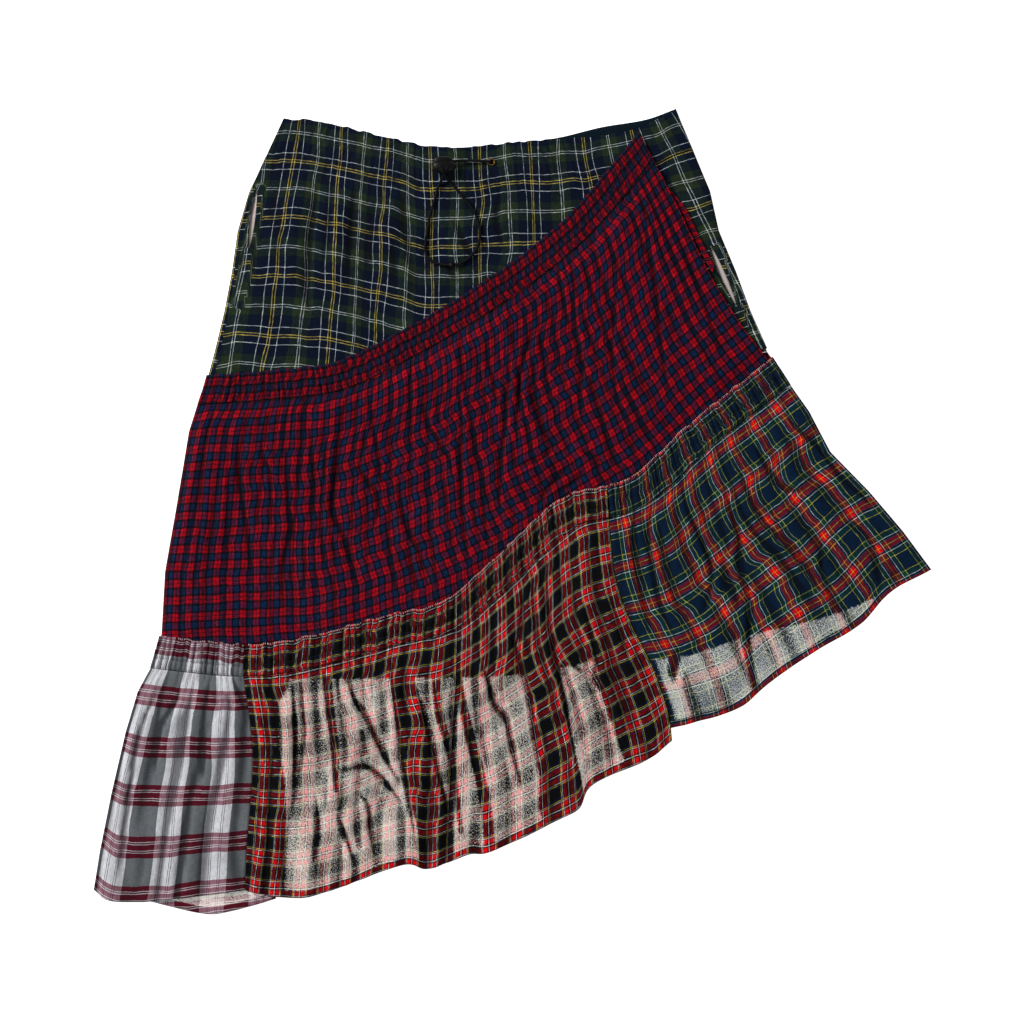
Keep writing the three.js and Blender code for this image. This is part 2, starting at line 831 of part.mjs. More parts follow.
// The back lies face down, flat on the surface. Columns of its bands: name, upper line, lower line, levels of the
// left end, levels of the right end, thickness, cloth.
function back() {
  const waistSeam = toSides(beside(WAIST_BACK, WAIST_DEPTH), 353, 363);
  const casing2End = toSides(beside(TIER2_TOP_BACK, TIER2_CASING_DEPTH), 105, 136);
  const casing3End = toSides(beside(TIER3_TOP_BACK, TIER3_CASING_DEPTH), -156.5, 99);
  const below = (line) => moved(line, 0, -SEAM_GAP);
  const bands = [
    ["waist_casing", WAIST_BACK, waistSeam, [390.5, 353], [402.5, 363], CASING, "yoke"],
    ["yoke", below(waistSeam), TIER2_TOP_BACK, [353, 134], [363, 160], CLOTH, "yoke"],
    ["tier2_casing", below(TIER2_TOP_BACK), casing2End, [134, 105], [160, 136], CLOTH, "tier2"],
    ["tier2", below(casing2End), TIER3_TOP_BACK, [105, -126], [136, 127], CLOTH, "tier2"],
    ["tier3_casing", below(TIER3_TOP_BACK), casing3End, [-126.5, -156.5], [126, 99], CLOTH, "green"],
  ];
  bands.forEach(([name, top, bottom, left, right, thickness, colour]) => {
    const edges = { top, bottom, left: side(LEFT_SIDE, ...left), right: side(RIGHT_SIDE, ...right) };
    cloth(`${name}_back`, edges, () => 0, 20, 2, thickness, COLOURS[colour]);
  });
  const split = shareAt(casing3End, BACK_SPLIT);
  const half = SEAM_GAP / 2;
  const greyTop = parted(moved(stretch(casing3End, 0, split), 0, -SEAM_GAP), 0, half);
  const greenTop = parted(moved(stretch(casing3End, split, 1), 0, -SEAM_GAP), half, 0);
  const greyEdges = {
    top: greyTop,
    bottom: GREY_HEM_BACK,
    left: side(LEFT_SIDE, -157, -374),
    right: straight(greyTop(1), GREY_HEM_BACK(1)),
  };
  const greenEdges = {
    top: greenTop,
    bottom: GREEN_HEM_BACK,
    left: straight(greenTop(0), GREEN_HEM_BACK(0)),
    right: side(RIGHT_SIDE, 99, -61),
  };
  cloth("tier3_grey_back", greyEdges, () => 0, 8, 6, CLOTH, COLOURS.grey);
  cloth("tier3_green_back", greenEdges, () => 0, 20, 4, CLOTH, COLOURS.green);
}

// Drawcord and fittings

// A brass ring whose barrel goes down through the casing.
function eyelet([name, [x, y]]) {
  const { bore, barrel, flange, rim } = EYELET;
  const seat = ON_BACK_CASING + CASING + PLY_GAP;
  const profile = [
    [bore, ON_BACK_CASING],
    [barrel, ON_BACK_CASING],
    [barrel, seat],
    [flange, seat],
    [flange, seat + rim / 2],
    [(flange + bore) / 2, seat + rim],
    [bore, seat + rim / 2],
    [bore, ON_BACK_CASING],
  ];
  add(`eyelet_${name}`, lathe(profile, 16).translate(x, y, 0), COLOURS.brass, { roughness: 0.3, metalness: 1 });
}

function ellipsoid(halves, centre) {
  return new THREE.SphereGeometry(1, 18, 9).scale(...halves).translate(...centre);
}

// An oval lock with a sprung plunger in its upper edge. The cord's bores run through both. It rests on the eyelet
// behind it.
function cordLock() {
  const { x, y, width, height, depth, cap, groove } = LOCK;
  const z = ON_BACK_CASING + CASING + 2 * PLY_GAP + EYELET.rim + depth / 2;
  const halves = [width / 2, height / 2, depth / 2];
  const body = solid(ellipsoid(halves, [x, y, z]));
  const grown = solid(ellipsoid(halves.map((half) => half + groove), [x, y, z]));
  const head = solid(ellipsoid([width * 0.43, cap + 1.4, depth * 0.43], [x, y + height / 2 - 1, z]));
  const stem = (radius, length) => {
    const rod = new THREE.CylinderGeometry(radius, radius, length, 12);
    return solid(rod.translate(x, y + height / 2 + 1 - length / 2, z));
  };
  const bores = [WAIST_CORD.slice(0, 4), LEFT_STRAND.slice(0, 5), RIGHT_STRAND.slice(0, 5)].map((route) =>
    solid(tube(route, CORD_RADIUS + BORE_CLEARANCE + 0.05, CORD_SIDES, CORD_STEP / 3)),
  );
  const bored = (piece) => bores.reduce((left, bore) => left.subtract(bore), piece);
  const finish = { roughness: 0.45 };
  add("cord_lock", geometryOf(bored(body.subtract(stem(2.3, 10)))), COLOURS.plastic, finish);
  add("cord_lock_plunger", geometryOf(bored(head.subtract(grown).add(stem(1.9, 9)))), COLOURS.plastic, finish);
}

function drawcord() {
  add("drawcord_waist", tube(WAIST_CORD, CORD_RADIUS, CORD_SIDES, CORD_STEP / 2), COLOURS.cord);
  add("drawcord_left", tube(LEFT_STRAND, CORD_RADIUS, CORD_SIDES, CORD_STEP / 1.2), COLOURS.cord);
  add("drawcord_right", tube(RIGHT_STRAND, CORD_RADIUS, CORD_SIDES, CORD_STEP / 1.2), COLOURS.cord);
  const bead = new THREE.SphereGeometry(BEAD.radius, 14, 8);
  bead.translate(BEAD.x, BEAD.y, ON_BACK + CLOTH + PLY_GAP + BEAD.radius);
  add("cord_bead", bead, COLOURS.plastic, { roughness: 0.3 });
}

// The origin is under the middle of the skirt, its cord and fittings left out.
function centred() {
  const box = new THREE.Box3();
  const fittings = /cord/;
  garment.children.filter(({ name }) => !fittings.test(name)).forEach((mesh) => box.expandByObject(mesh));
  const middle = box.getCenter(new THREE.Vector3());
  garment.children.forEach((mesh) => mesh.geometry.translate(-middle.x, -middle.y, -box.min.z));
}

waistCasingFront();
yokeFront();
POCKETS.forEach(pocketBag);
tier2Front();
tier2SideHem();
tier3Front();
back();
Object.entries(EYELETS).forEach(eyelet);
cordLock();
drawcord();
centred();

export default garment;
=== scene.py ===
"""The looks of a tiered midi skirt, laid flat with its front up. Lengths are in millimetres."""
import math

import bpy
import numpy as np
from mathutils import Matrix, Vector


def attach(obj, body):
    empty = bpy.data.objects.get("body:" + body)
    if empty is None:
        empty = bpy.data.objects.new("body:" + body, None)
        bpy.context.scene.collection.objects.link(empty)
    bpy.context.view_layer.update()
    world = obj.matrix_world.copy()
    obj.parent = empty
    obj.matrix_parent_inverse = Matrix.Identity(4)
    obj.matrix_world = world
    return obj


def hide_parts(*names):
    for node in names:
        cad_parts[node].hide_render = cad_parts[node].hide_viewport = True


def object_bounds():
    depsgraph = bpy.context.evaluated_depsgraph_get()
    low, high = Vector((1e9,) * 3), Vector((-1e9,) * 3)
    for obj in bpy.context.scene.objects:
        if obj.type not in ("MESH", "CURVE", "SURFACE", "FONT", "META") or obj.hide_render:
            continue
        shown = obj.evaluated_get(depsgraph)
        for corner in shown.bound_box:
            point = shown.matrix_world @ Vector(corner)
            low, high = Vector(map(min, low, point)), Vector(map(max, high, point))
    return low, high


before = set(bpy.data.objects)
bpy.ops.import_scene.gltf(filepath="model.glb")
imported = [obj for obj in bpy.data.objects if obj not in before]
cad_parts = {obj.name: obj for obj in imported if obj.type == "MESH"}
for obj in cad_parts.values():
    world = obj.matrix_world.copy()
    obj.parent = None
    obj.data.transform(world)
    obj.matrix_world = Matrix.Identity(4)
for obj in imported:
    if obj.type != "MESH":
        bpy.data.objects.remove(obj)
CAD_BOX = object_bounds()
MM = 0.001
# The solids were centred after they were drawn. This is how far that moved them.
SHIFT = (CAD_BOX[1].x / MM - 418.0, CAD_BOX[1].y / MM - 402.5)

# Heights of the plies, as the solids have them
CLOTH, CASING, PLY_GAP, BAG, DRAPE = 1.2, 1.8, 0.3, 1.0, 24.0
ON_BACK = CLOTH + PLY_GAP
ON_BACK_CASING = CASING + PLY_GAP
ONE_PLY = CLOTH + 1.7 * PLY_GAP
SEAM_GAP = 0.35
WAIST_DEPTH, TIER2_CASING_DEPTH, TIER3_CASING_DEPTH, TIER3_LAP = 38.0, 29.0, 32.0, 9.0
SHEER_PLY = 0.45  # thickness of one shirt-cloth ply
HEM = 7.0
HEM_SHARE = HEM / 215  # of a front panel of the last tier

# The garment's own side edges: y, x
LEFT_SIDE = [(392.5, -229), (354, -247), (320, -264), (280, -276), (240, -282), (200, -290), (160, -300),
    (120, -311), (80, -324), (0, -338), (-60, -349), (-124, -353), (-156, -362), (-180, -375), (-220, -387),
    (-280, -401), (-340, -413), (-378, -419)]
RIGHT_SIDE = [(401, 164), (363, 179), (320, 197), (280, 206), (240, 223), (200, 238), (160, 256), (128, 276),
    (100, 296), (60, 317), (20, 356), (-20, 390), (-58, 418)]


def smooth(t):
    t = np.clip(t, 0, 1)
    return t * t * (3 - 2 * t)


def catmull(points, per=20):
    """A centripetal Catmull-Rom line through the points, as a dense list."""
    p = np.array(points, float)
    p = np.vstack([2 * p[0] - p[1], p, 2 * p[-1] - p[-2]])
    t = np.linspace(0, 1, per, endpoint=False)[:, None]
    out = []
    for a, b, c, d in zip(p[:-3], p[1:-2], p[2:-1], p[3:]):
        d0, d1, d2 = (max(1e-6, np.linalg.norm(y - x) ** 0.5) for x, y in ((a, b), (b, c), (c, d)))
        m1 = ((b - a) / d0 - (c - a) / (d0 + d1) + (c - b) / d1) * d1
        m2 = ((c - b) / d1 - (d - b) / (d1 + d2) + (d - c) / d2) * d1
        out.append(b + m1 * t + (3 * (c - b) - 2 * m1 - m2) * t**2 + (2 * (b - c) + m1 + m2) * t**3)
    return np.vstack(out + [p[-2][None]])


def lengths(p):
    """Length along a list of points, from 0 at the first."""
    return np.concatenate([[0], np.cumsum(np.linalg.norm(np.diff(p, axis=0), axis=1))])


class Line:
    """A line that is read by its share of length."""

    def __init__(self, points, dense=None):
        self.p = catmull(points) if dense is None else dense
        self.s = lengths(self.p)
        self.length = self.s[-1]

    def __call__(self, u):
        s = np.clip(u, 0, 1) * self.length
        return np.stack([np.interp(s, self.s, self.p[:, i]) for i in range(self.p.shape[1])], -1)

    def y(self, x):
        return np.interp(x, self.p[:, 0], self.p[:, 1])

    def share(self, x):
        return float(np.interp(x, self.p[:, 0], self.s / self.length))


def stretch(line, a, b):
    return lambda u: line(a + (b - a) * np.asarray(u, float))


def moved(line, x, y):
    return lambda u: line(u) + np.array([x, y])


def beside(line, distance):
    def at(u):
        u = np.asarray(u, float)
        d = line(np.minimum(u + 0.004, 1)) - line(np.maximum(u - 0.004, 0))
        d = d / np.linalg.norm(d, axis=-1, keepdims=True) * distance
        return line(u) + np.stack([d[..., 1], -d[..., 0]], -1)

    return at


def joined(line, start, end):
    a, b = np.array(start) - line(0.0), np.array(end) - line(1.0)
    return lambda u: line(u) + a * (1 - np.asarray(u)[..., None]) ** 12 + b * np.asarray(u)[..., None] ** 12


def level(rows, y):
    r = np.array(rows, float)[::-1]
    return np.interp(y, r[:, 0], r[:, 1])


def to_sides(line, left, right):
    return joined(line, (level(LEFT_SIDE, left), left), (level(RIGHT_SIDE, right), right))


def side(rows, top, bottom):
    def at(v):
        y = top + (bottom - top) * np.asarray(v, float)
        return np.stack([level(rows, y), y], -1)

    return at


def straight(a, b):
    a, b = np.array(a, float), np.array(b, float)
    return lambda v: a + (b - a) * np.asarray(v, float)[..., None]


def dense(line, n=240):
    return Line(None, line(np.linspace(0, 1, n)))


WAIST_FRONT = Line([(-229, 392.5), (-191, 389.5), (-141, 377.5), (-85, 365.5), (-43, 364.5), (2, 369),
    (92, 375.5), (127, 384), (163, 400.5)])
YOKE_HEM = Line([(-313, 81.5), (-183, 79.5), (-33, 61.5), (50, 78), (127, 117), (187, 152), (254, 163)])
TIER2_TOP = Line([(-306, 135.5), (-237, 141.5), (-179, 149.5), (-109, 182.5), (-23, 234.5), (47, 288),
    (89, 334.5), (125, 378.5)])
TIER2_SIDE = Line([(125, 378.5), (143, 345.5), (166, 302.5), (195, 244.5), (227, 195.5), (255.5, 160.5)])
TIER3_TOP = Line([(-353, -124.5), (-268, -132.5), (-219, -127.5), (-127, -103.5), (-72, -90), (-35, -61.5),
    (40, 7.5), (60, 18.5), (113, 32.5), (179, 90.5), (259, 154.5)])
WAIST_BACK = Line([(-229, 390.5), (-191, 387.5), (-141, 375.5), (-85, 363.5), (-43, 362.5), (2, 367),
    (47, 374), (88, 384), (134, 392), (163, 402.5)])
TIER2_TOP_BACK = Line([(-305, 134), (-100, 118), (80, 124), (254, 160)])
TIER3_TOP_BACK = Line([(-352, -126), (-150, -76), (60, 2), (272, 126)])
GREY_HEM_BACK = Line([(-414, -374), (-385, -384), (-358, -391), (-313, -401.5), (-298, -402.5), (-260, -394),
    (-237, -387)])
GREEN_HEM_BACK = Line([(-236, -166), (12, -160.5), (87, -147), (167, -143.5), (232, -123.5), (322, -100.5),
    (412, -61)])
BACK_SPLIT = -236.5
WAIST_SEAM = dense(to_sides(beside(WAIST_FRONT, WAIST_DEPTH), 354, 363))
TIER3_SEAM = dense(to_sides(beside(TIER3_TOP, TIER3_CASING_DEPTH), -156.5, 126))

PANELS = [
    ("grey", -268.5, [(-269, -163), (-262.3, -212.5), (-260, -250), (-266, -338), (-268, -378.5)],
        [(-419, -378), (-405, -388), (-375, -390), (-341, -387.5), (-268, -378.5)]),
    ("black_a", -56, [(-55.5, -125), (-57, -178.5), (-62, -248.5), (-65, -351)], [(-268, -378.5),
        (-237, -384.5), (-208, -385.5), (-178, -377.5), (-103, -352.5), (-88, -357.5), (-65, -351)]),
    ("black_b", 94, [(96, -9), (103, -67.5), (119, -113.5), (139, -153.5), (156, -203.5), (159, -229)],
        [(-65, -351), (-43, -342.5), (-28, -341.5), (47, -307.5), (66, -297), (77, -275.5), (137, -246.5),
        (159, -229)]),
    ("green", None, None, [(159.5, -216.5), (182, -210.5), (227, -195.5), (257, -170.5), (302, -139.5),
        (347, -112.5), (377, -80.5), (418, -58)]),
]
# Soft folds of the yoke: x at its top, x 200 mm lower, height, half width, where it starts and ends
YOKE_DRAPES = [(-214, -236, 2.2, 19, 345, 190), (-166, -186, 2.8, 17, 338, 195),
    (-124, -138, 2.6, 16, 330, 215), (24, 16, 2.6, 16, 325, 300), (128, 150, 1.4, 13, 330, 300)]
# Pocket bags: centre, half width, half depth, lean in degrees. Pocket mouths: ends and width
BAGS = {"left": (-230, 238, 44, 78, -12.5), "right": (178, 221, 40, 56, 21.3)}
SLITS = {"left": ((-256, 323), (-263.5, 263), 4.6), "right": ((197.5, 264.5), (223, 205.5), 5.0)}

# Main creases, read on a plan whose corner is at the upper left, in millimetres: points, depth, width
PLAN = (513.0, 511.5)
TIER2_CREASES = [
    ([(229, 436), (228, 494), (226, 532), (222, 580)], 1.6, 1.6),
    ([(240, 417), (239, 456), (241, 479), (244, 505), (249, 532), (251, 561), (257, 590)], 2.4, 2.0),
    ([(265, 420), (263, 456), (270, 468), (272, 494), (272, 513), (267, 551)], 2.0, 1.7),
    ([(288, 416), (286, 467), (288, 502), (290, 528), (282, 570), (284, 628)], 2.4, 1.9),
    ([(311, 412), (313, 456), (315, 482), (312, 519), (309, 540)], 2.2, 1.8),
    ([(329, 410), (326, 467), (322, 502), (322, 532), (328, 570), (341, 600)], 2.2, 1.8),
    ([(341, 408), (335, 467), (332, 513), (341, 532), (351, 563), (358, 590), (360, 618)], 2.6, 2.0),
    ([(362, 402), (366, 436), (361, 470), (377, 492), (380, 505), (372, 532), (366, 548)], 2.8, 2.0),
    ([(380, 392), (374, 423), (380, 456), (382, 482), (386, 498)], 2.2, 1.7),
    ([(397, 460), (401, 509), (408, 532), (418, 551), (425, 580), (433, 600)], 2.6, 2.0),
    ([(424, 380), (426, 417), (437, 437), (450, 460), (452, 490)], 2.2, 1.8),
    ([(455, 332), (457, 372), (462, 413), (462, 460), (462, 497), (466, 540), (470, 590)], 3.0, 2.0),
    ([(487, 316), (487, 357), (493, 384), (498, 420)], 2.2, 1.8),
    ([(514, 320), (510, 372), (507, 403), (505, 434), (502, 457), (500, 499), (502, 540)], 3.2, 2.1),
    ([(527, 300), (533, 330), (525, 357), (521, 378), (519, 404), (517, 434), (522, 460)], 3.2, 2.1),
    ([(525, 372), (533, 403), (544, 434), (560, 455)], 2.6, 2.0),
    ([(558, 436), (546, 457), (525, 466), (517, 476)], 2.2, 1.8),
    ([(573, 262), (575, 313), (577, 336), (583, 365), (581, 384), (583, 434)], 3.0, 2.0),
    ([(581, 357), (590, 384), (602, 422), (610, 451), (614, 470)], 2.6, 1.9),
    ([(571, 447), (587, 453), (598, 459), (599, 478)], 2.4, 1.8),
    ([(572, 462), (564, 472), (552, 485), (542, 499), (533, 514)], 2.8, 1.9),
    ([(586, 466), (574, 480), (560, 492)], 2.0, 1.7),
    ([(612, 240), (616, 300), (612, 350), (619, 403), (629, 422), (632, 451), (625, 470)], 2.2, 1.9),
    ([(640, 190), (650, 250), (657, 298), (659, 326), (663, 357), (667, 384), (680, 413)], 2.4, 1.9),
    ([(668, 210), (690, 270), (712, 330), (728, 380)], 1.8, 1.8),
    ([(420, 600), (410, 560), (404, 530)], 1.5, 1.6),
    ([(207, 440), (203, 500), (198, 560), (192, 620)], 1.4, 1.7),
    ([(184, 470), (180, 540), (176, 600)], 1.2, 1.7),
    ([(302, 520), (306, 560), (303, 610)], 1.6, 1.6),
    ([(388, 520), (392, 560), (398, 600)], 1.6, 1.6),
    ([(480, 480), (484, 520), (490, 560)], 1.8, 1.6),
]
GREY_CREASES = [
    ([(162, 672), (157, 691), (143, 720), (135, 750), (130, 779), (126, 808), (121, 850), (116, 888)], 2.2,
        1.8),
    ([(181, 674), (179, 697), (164, 723), (158, 750), (155, 780)], 1.5, 2.2),
    ([(212, 672), (207, 697), (204, 727), (204, 769), (200, 800)], 1.4, 2.2),
    ([(231, 672), (239, 695), (244, 706), (248, 730)], 1.6, 2.0),
    ([(192, 800), (187, 840), (184, 880)], 0.8, 3.0),
]
BLACK_A_CREASES = [
    ([(292, 670), (294, 715), (295, 753), (294, 791), (290, 820)], 2.4, 1.8),
    ([(302, 668), (303, 707), (305, 734), (302, 770)], 1.8, 1.6),
    ([(325, 664), (327, 690), (334, 746), (335, 772), (337, 800)], 3.0, 2.0),
    ([(344, 662), (347, 677), (355, 700), (365, 715), (378, 744), (391, 769), (403, 792)], 3.2, 2.0),
    ([(335, 772), (350, 768), (366, 766), (383, 779), (404, 806)], 2.6, 2.2),
    ([(336, 811), (347, 839), (355, 868)], 2.2, 2.0),
    ([(352, 790), (366, 801), (370, 830), (374, 858)], 2.0, 2.0),
    ([(271, 676), (268, 720), (272, 760), (269, 820), (272, 870)], 1.8, 2.2),
    ([(391, 648), (393, 677), (397, 715), (403, 763), (411, 811), (418, 855)], 3.2, 1.6),
    ([(412, 672), (424, 715), (435, 759), (443, 792), (451, 820), (453, 847)], 2.6, 1.8),
    ([(433, 668), (437, 700), (447, 740), (456, 776), (462, 810), (466, 840)], 2.4, 1.6),
    ([(315, 790), (318, 830), (312, 870)], 1.8, 2.0),
]
BLACK_B_CREASES = [
    ([(474, 640), (487, 680), (495, 706), (505, 719), (510, 742), (518, 776), (524, 800)], 3.0, 1.9),
    ([(460, 660), (464, 700), (470, 740), (478, 770), (484, 800)], 2.6, 1.8),
    ([(508, 612), (514, 640), (523, 666), (530, 698), (533, 726), (536, 751), (539, 784)], 3.2, 1.8),
    ([(540, 600), (548, 630), (553, 656), (561, 686), (568, 722), (573, 747), (579, 769), (584, 785)], 3.0,
        1.8),
    ([(579, 580), (586, 610), (597, 660), (596, 676), (606, 693), (614, 716), (619, 736), (624, 752)], 3.0,
        1.9),
    ([(602, 560), (612, 600), (624, 640), (632, 676)], 2.2, 1.9),
    ([(524, 590), (520, 620), (518, 650)], 2.0, 1.7),
    ([(571, 650), (573, 664), (585, 672)], 1.8, 1.6),
]
GREEN_CREASES = [
    ([(733, 445), (743, 483), (763, 524), (784, 544), (804, 570), (825, 598), (837, 618)], 3.2, 2.0),
    ([(749, 438), (762, 458), (779, 483), (800, 490), (817, 491)], 2.4, 2.0),
    ([(774, 388), (794, 424), (819, 447), (840, 475), (870, 503), (888, 524)], 2.8, 2.0),
    ([(717, 458), (726, 500), (738, 540), (738, 565), (748, 603), (748, 638), (753, 669), (758, 692)], 3.0,
        2.0),
    ([(654, 490), (649, 534), (654, 570), (661, 605), (671, 628), (682, 646)], 2.6, 2.0),
    ([(679, 478), (688, 510), (702, 540), (712, 570), (708, 600), (690, 630)], 2.6, 2.0),
    ([(819, 540), (821, 570), (829, 595), (838, 618)], 2.0, 2.0),
    ([(870, 534), (878, 570), (881, 595)], 2.4, 2.2),
    ([(846, 520), (862, 530), (874, 545)], 1.8, 2.2),
    ([(636, 498), (632, 540), (640, 590), (650, 640)], 2.0, 1.8),
    ([(680, 640), (676, 665), (672, 690)], 2.0, 2.0),
]
YOKE_CREASES = [
    ([(262, 170), (256, 220), (250, 300)], 1.0, 2.4),
    ([(318, 168), (314, 220), (308, 280), (312, 330)], 1.4, 2.6),
    ([(356, 176), (352, 230), (346, 290)], 1.4, 2.6),
    ([(400, 184), (404, 230), (410, 280), (402, 320)], 1.6, 2.4),
    ([(455, 215), (462, 235), (475, 262)], 2.2, 2.0),
    ([(445, 262), (456, 278), (460, 300)], 2.0, 1.8),
    ([(470, 255), (474, 275), (468, 292)], 2.0, 1.8),
    ([(500, 190), (497, 220), (505, 250)], 1.4, 2.4),
    ([(560, 185), (556, 215)], 1.2, 2.4),
]
# Strips of the last tier where two plies lie together, so no light comes through: points and half width
DOUBLED = [
    [(262, 680, 27), (258, 705, 19), (257, 725, 17), (262, 775, 22), (264, 830, 22), (262, 890, 22)],
    [(401, 672, 11), (409, 715, 14), (419, 760, 16), (427, 795, 17), (434, 822, 17), (437, 862, 17)],
    [(538, 655, 15), (545, 697, 16), (550, 724, 17.5), (554, 748, 18), (559, 772, 20), (562, 805, 23)],
    [(625, 650, 31), (638, 676, 41), (646, 700, 40), (654, 735, 36), (662, 757, 36), (668, 785, 36)],
    [(457, 676, 4), (462, 700, 4), (471, 740, 4.5), (480, 775, 5), (487, 815, 5), (490, 850, 5)],
    [(327, 676, 4), (331, 715, 4), (335, 746, 3.5), (336, 790, 2)],
    [(436, 676, 4), (440, 715, 4), (448, 745, 3), (455, 780, 2.4), (461, 830, 2)],
]
# The same in the green panel
FLAP = [[(672, 645, 9), (674, 658, 6), (670, 674, 2)], [(742, 628, 4), (748, 660, 3), (757, 694, 3)]]


def plan(points):
    p = np.array(points, float)
    p[:, 0], p[:, 1] = p[:, 0] - PLAN[0], PLAN[1] - p[:, 1]
    return p


def noise(x, y, seed):
    """Smooth noise between -1 and 1."""
    table = np.random.default_rng(seed).uniform(-1, 1, (128, 128))
    xi, yi = np.floor(x).astype(int), np.floor(y).astype(int)
    fx, fy = smooth(x - xi), smooth(y - yi)
    at = lambda i, j: table[(xi + i) & 127, (yi + j) & 127]
    return (at(0, 0) * (1 - fx) + at(1, 0) * fx) * (1 - fy) + (at(0, 1) * (1 - fx) + at(1, 1) * fx) * fy


def near(x, y, line, reach):
    """Signed distance to a line, and the share of its length, at the points within reach of it."""
    d = np.full(x.shape, 1e3)
    t = np.zeros(x.shape)
    ok = (x > line[:, 0].min() - reach) & (x < line[:, 0].max() + reach)
    ok &= (y > line[:, 1].min() - reach) & (y < line[:, 1].max() + reach)
    px, py = x[ok], y[ok]
    best = np.full(px.shape, 1e3)
    share = np.zeros(px.shape)
    s = lengths(line[:, :2])
    for i, (a, b) in enumerate(zip(line[:-1, :2], line[1:, :2])):
        e = b - a
        n2 = max(float(e @ e), 1e-9)
        k = np.clip(((px - a[0]) * e[0] + (py - a[1]) * e[1]) / n2, 0, 1)
        ox, oy = px - a[0] - k * e[0], py - a[1] - k * e[1]
        dist = np.hypot(ox, oy)
        sign = np.where(e[0] * oy - e[1] * ox > 0, 1, -1)
        closer = dist < np.abs(best)
        best = np.where(closer, dist * sign, best)
        share = np.where(closer, (s[i] + k * (s[i + 1] - s[i])) / s[-1], share)
    d[ok], t[ok] = best, share
    return d, t


def creased(x, y, creases):
    """Troughs with a soft ridge on one side, to be added to a height."""
    z = np.zeros(x.shape)
    for i, (points, depth, width) in enumerate(creases):
        line = catmull(plan(points), 5)
        d, t = near(x, y, line, 12 * width)
        ends = smooth(np.minimum(t, 1 - t) / 0.35)
        turn = 1 if i % 3 else -1
        steep = np.where(d * turn > 0, 0.75, 1.9) * width * (0.6 + 0.4 * ends)
        z -= depth * ends * np.exp(-((d / steep) ** 2))
        z += 0.5 * depth * ends * np.exp(-(((d * turn - 3.0 * width) / (1.9 * width)) ** 2))
    return z


def valley(x, y, creases):
    """1 along the bottom of each crease, where the cloth lies doubled."""
    most = np.zeros(x.shape)
    for points, depth, width in creases:
        d, t = near(x, y, catmull(plan(points), 5), 3 * width)
        ends = smooth(np.minimum(t, 1 - t) / 0.4)
        most = np.maximum(most, ends * np.exp(-((d / (0.25 + 0.7 * ends) / width) ** 2)))
    return most


def gathered(u, v, count, seed):
    """Crests between uneven valleys, from 0 in a valley to about 1 on a crest."""
    drift = 0.18 * noise(u * count * 0.9, v * 2.5, seed + 7)
    phase = u * count + 0.7 * noise(u * count * 0.31, v * 0.9, seed) + drift
    tall = 0.6 + 0.4 * noise(phase * 0.83, v * 2.4, seed + 1)
    return np.abs(np.sin(math.pi * phase)) ** 0.6 * tall


def over_bags(x, y):
    rise = np.zeros(x.shape)
    for bx, by, hw, hh, lean in BAGS.values():
        c, s = math.cos(math.radians(lean)), math.sin(math.radians(lean))
        across, along = (x - bx) * c + (y - by) * s, (y - by) * c - (x - bx) * s
        out = np.hypot(np.maximum(np.abs(across) - hw, 0), np.maximum(np.abs(along) - hh, 0))
        rise = np.maximum(rise, 1 - smooth((out - DRAPE) / DRAPE))
    return (BAG + PLY_GAP) * rise


def yoke_base(x, y):
    return ON_BACK + over_bags(x, y)


def tier2_base(x, y):
    past = YOKE_HEM.y(x) - y
    on_casing = smooth((y - WAIST_SEAM.y(x) + 26) / 20)
    step = ON_BACK_CASING + CASING - ON_BACK - CLOTH
    return yoke_base(x, y) + ONE_PLY * (1 - smooth((past - DRAPE) / DRAPE)) + step * on_casing


def tier3_casing_base(x, y):
    return tier2_base(x, y) + ONE_PLY


def tier3_base(x, y, v):
    past = np.minimum(GREEN_HEM_BACK.y(x) - y, x - BACK_SPLIT)
    down = smooth((past - 1.5 * DRAPE) / DRAPE)
    lifted = (tier3_casing_base(x, y) - ON_BACK) * (1 - smooth(v / 0.3))
    return (ON_BACK + lifted) * (1 - down) + lifted * down


# Materials


def srgb(*colour):
    parts = [c / 255 for c in colour]
    return tuple(p / 12.92 if p <= 0.04045 else ((p + 0.055) / 1.055) ** 2.4 for p in parts)


class Graph:
    def __init__(self, name):
        self.mat = bpy.data.materials.new(name)
        self.mat.use_nodes = True
        self.tree = self.mat.node_tree
        self.tree.nodes.clear()

    def node(self, kind, inputs=None, **props):
        n = self.tree.nodes.new(kind)
        for key, value in props.items():
            setattr(n, key, value)
        for key, value in (inputs or {}).items():
            if isinstance(value, bpy.types.NodeSocket):
                self.tree.links.new(value, n.inputs[key])
            else:
                n.inputs[key].default_value = value
        return n

    def math(self, op, a, b=0.0, clamp=False):
        return self.node("ShaderNodeMath", {0: a, 1: b}, operation=op, use_clamp=clamp).outputs[0]

    def mix(self, factor, a, b):
        return self.node("ShaderNodeMix", {0: factor, 6: a, 7: b}, data_type="RGBA").outputs[2]

    def noise(self, vector, scale, detail=2.0):
        inputs = {"Vector": vector, "Scale": scale, "Detail": detail}
        return self.node("ShaderNodeTexNoise", inputs).outputs[0]

    def scaled(self, vector, x, y):
        return self.node("ShaderNodeMapping", {"Vector": vector, "Scale": (x, y, 1.0)}).outputs[0]

    def bump(self, height, strength, distance):
        inputs = {"Height": height, "Strength": strength, "Distance": distance}
        return self.node("ShaderNodeBump", inputs).outputs[0]

    def place(self):
        return self.node("ShaderNodeTexCoord").outputs["Object"]

    def attribute(self, name):
        return self.node("ShaderNodeAttribute", attribute_name=name).outputs["Fac"]

    def surface(self, inputs):
        shader = self.node("ShaderNodeBsdfPrincipled", inputs)
        self.node("ShaderNodeOutputMaterial", {0: shader.outputs[0]})
        return self.mat


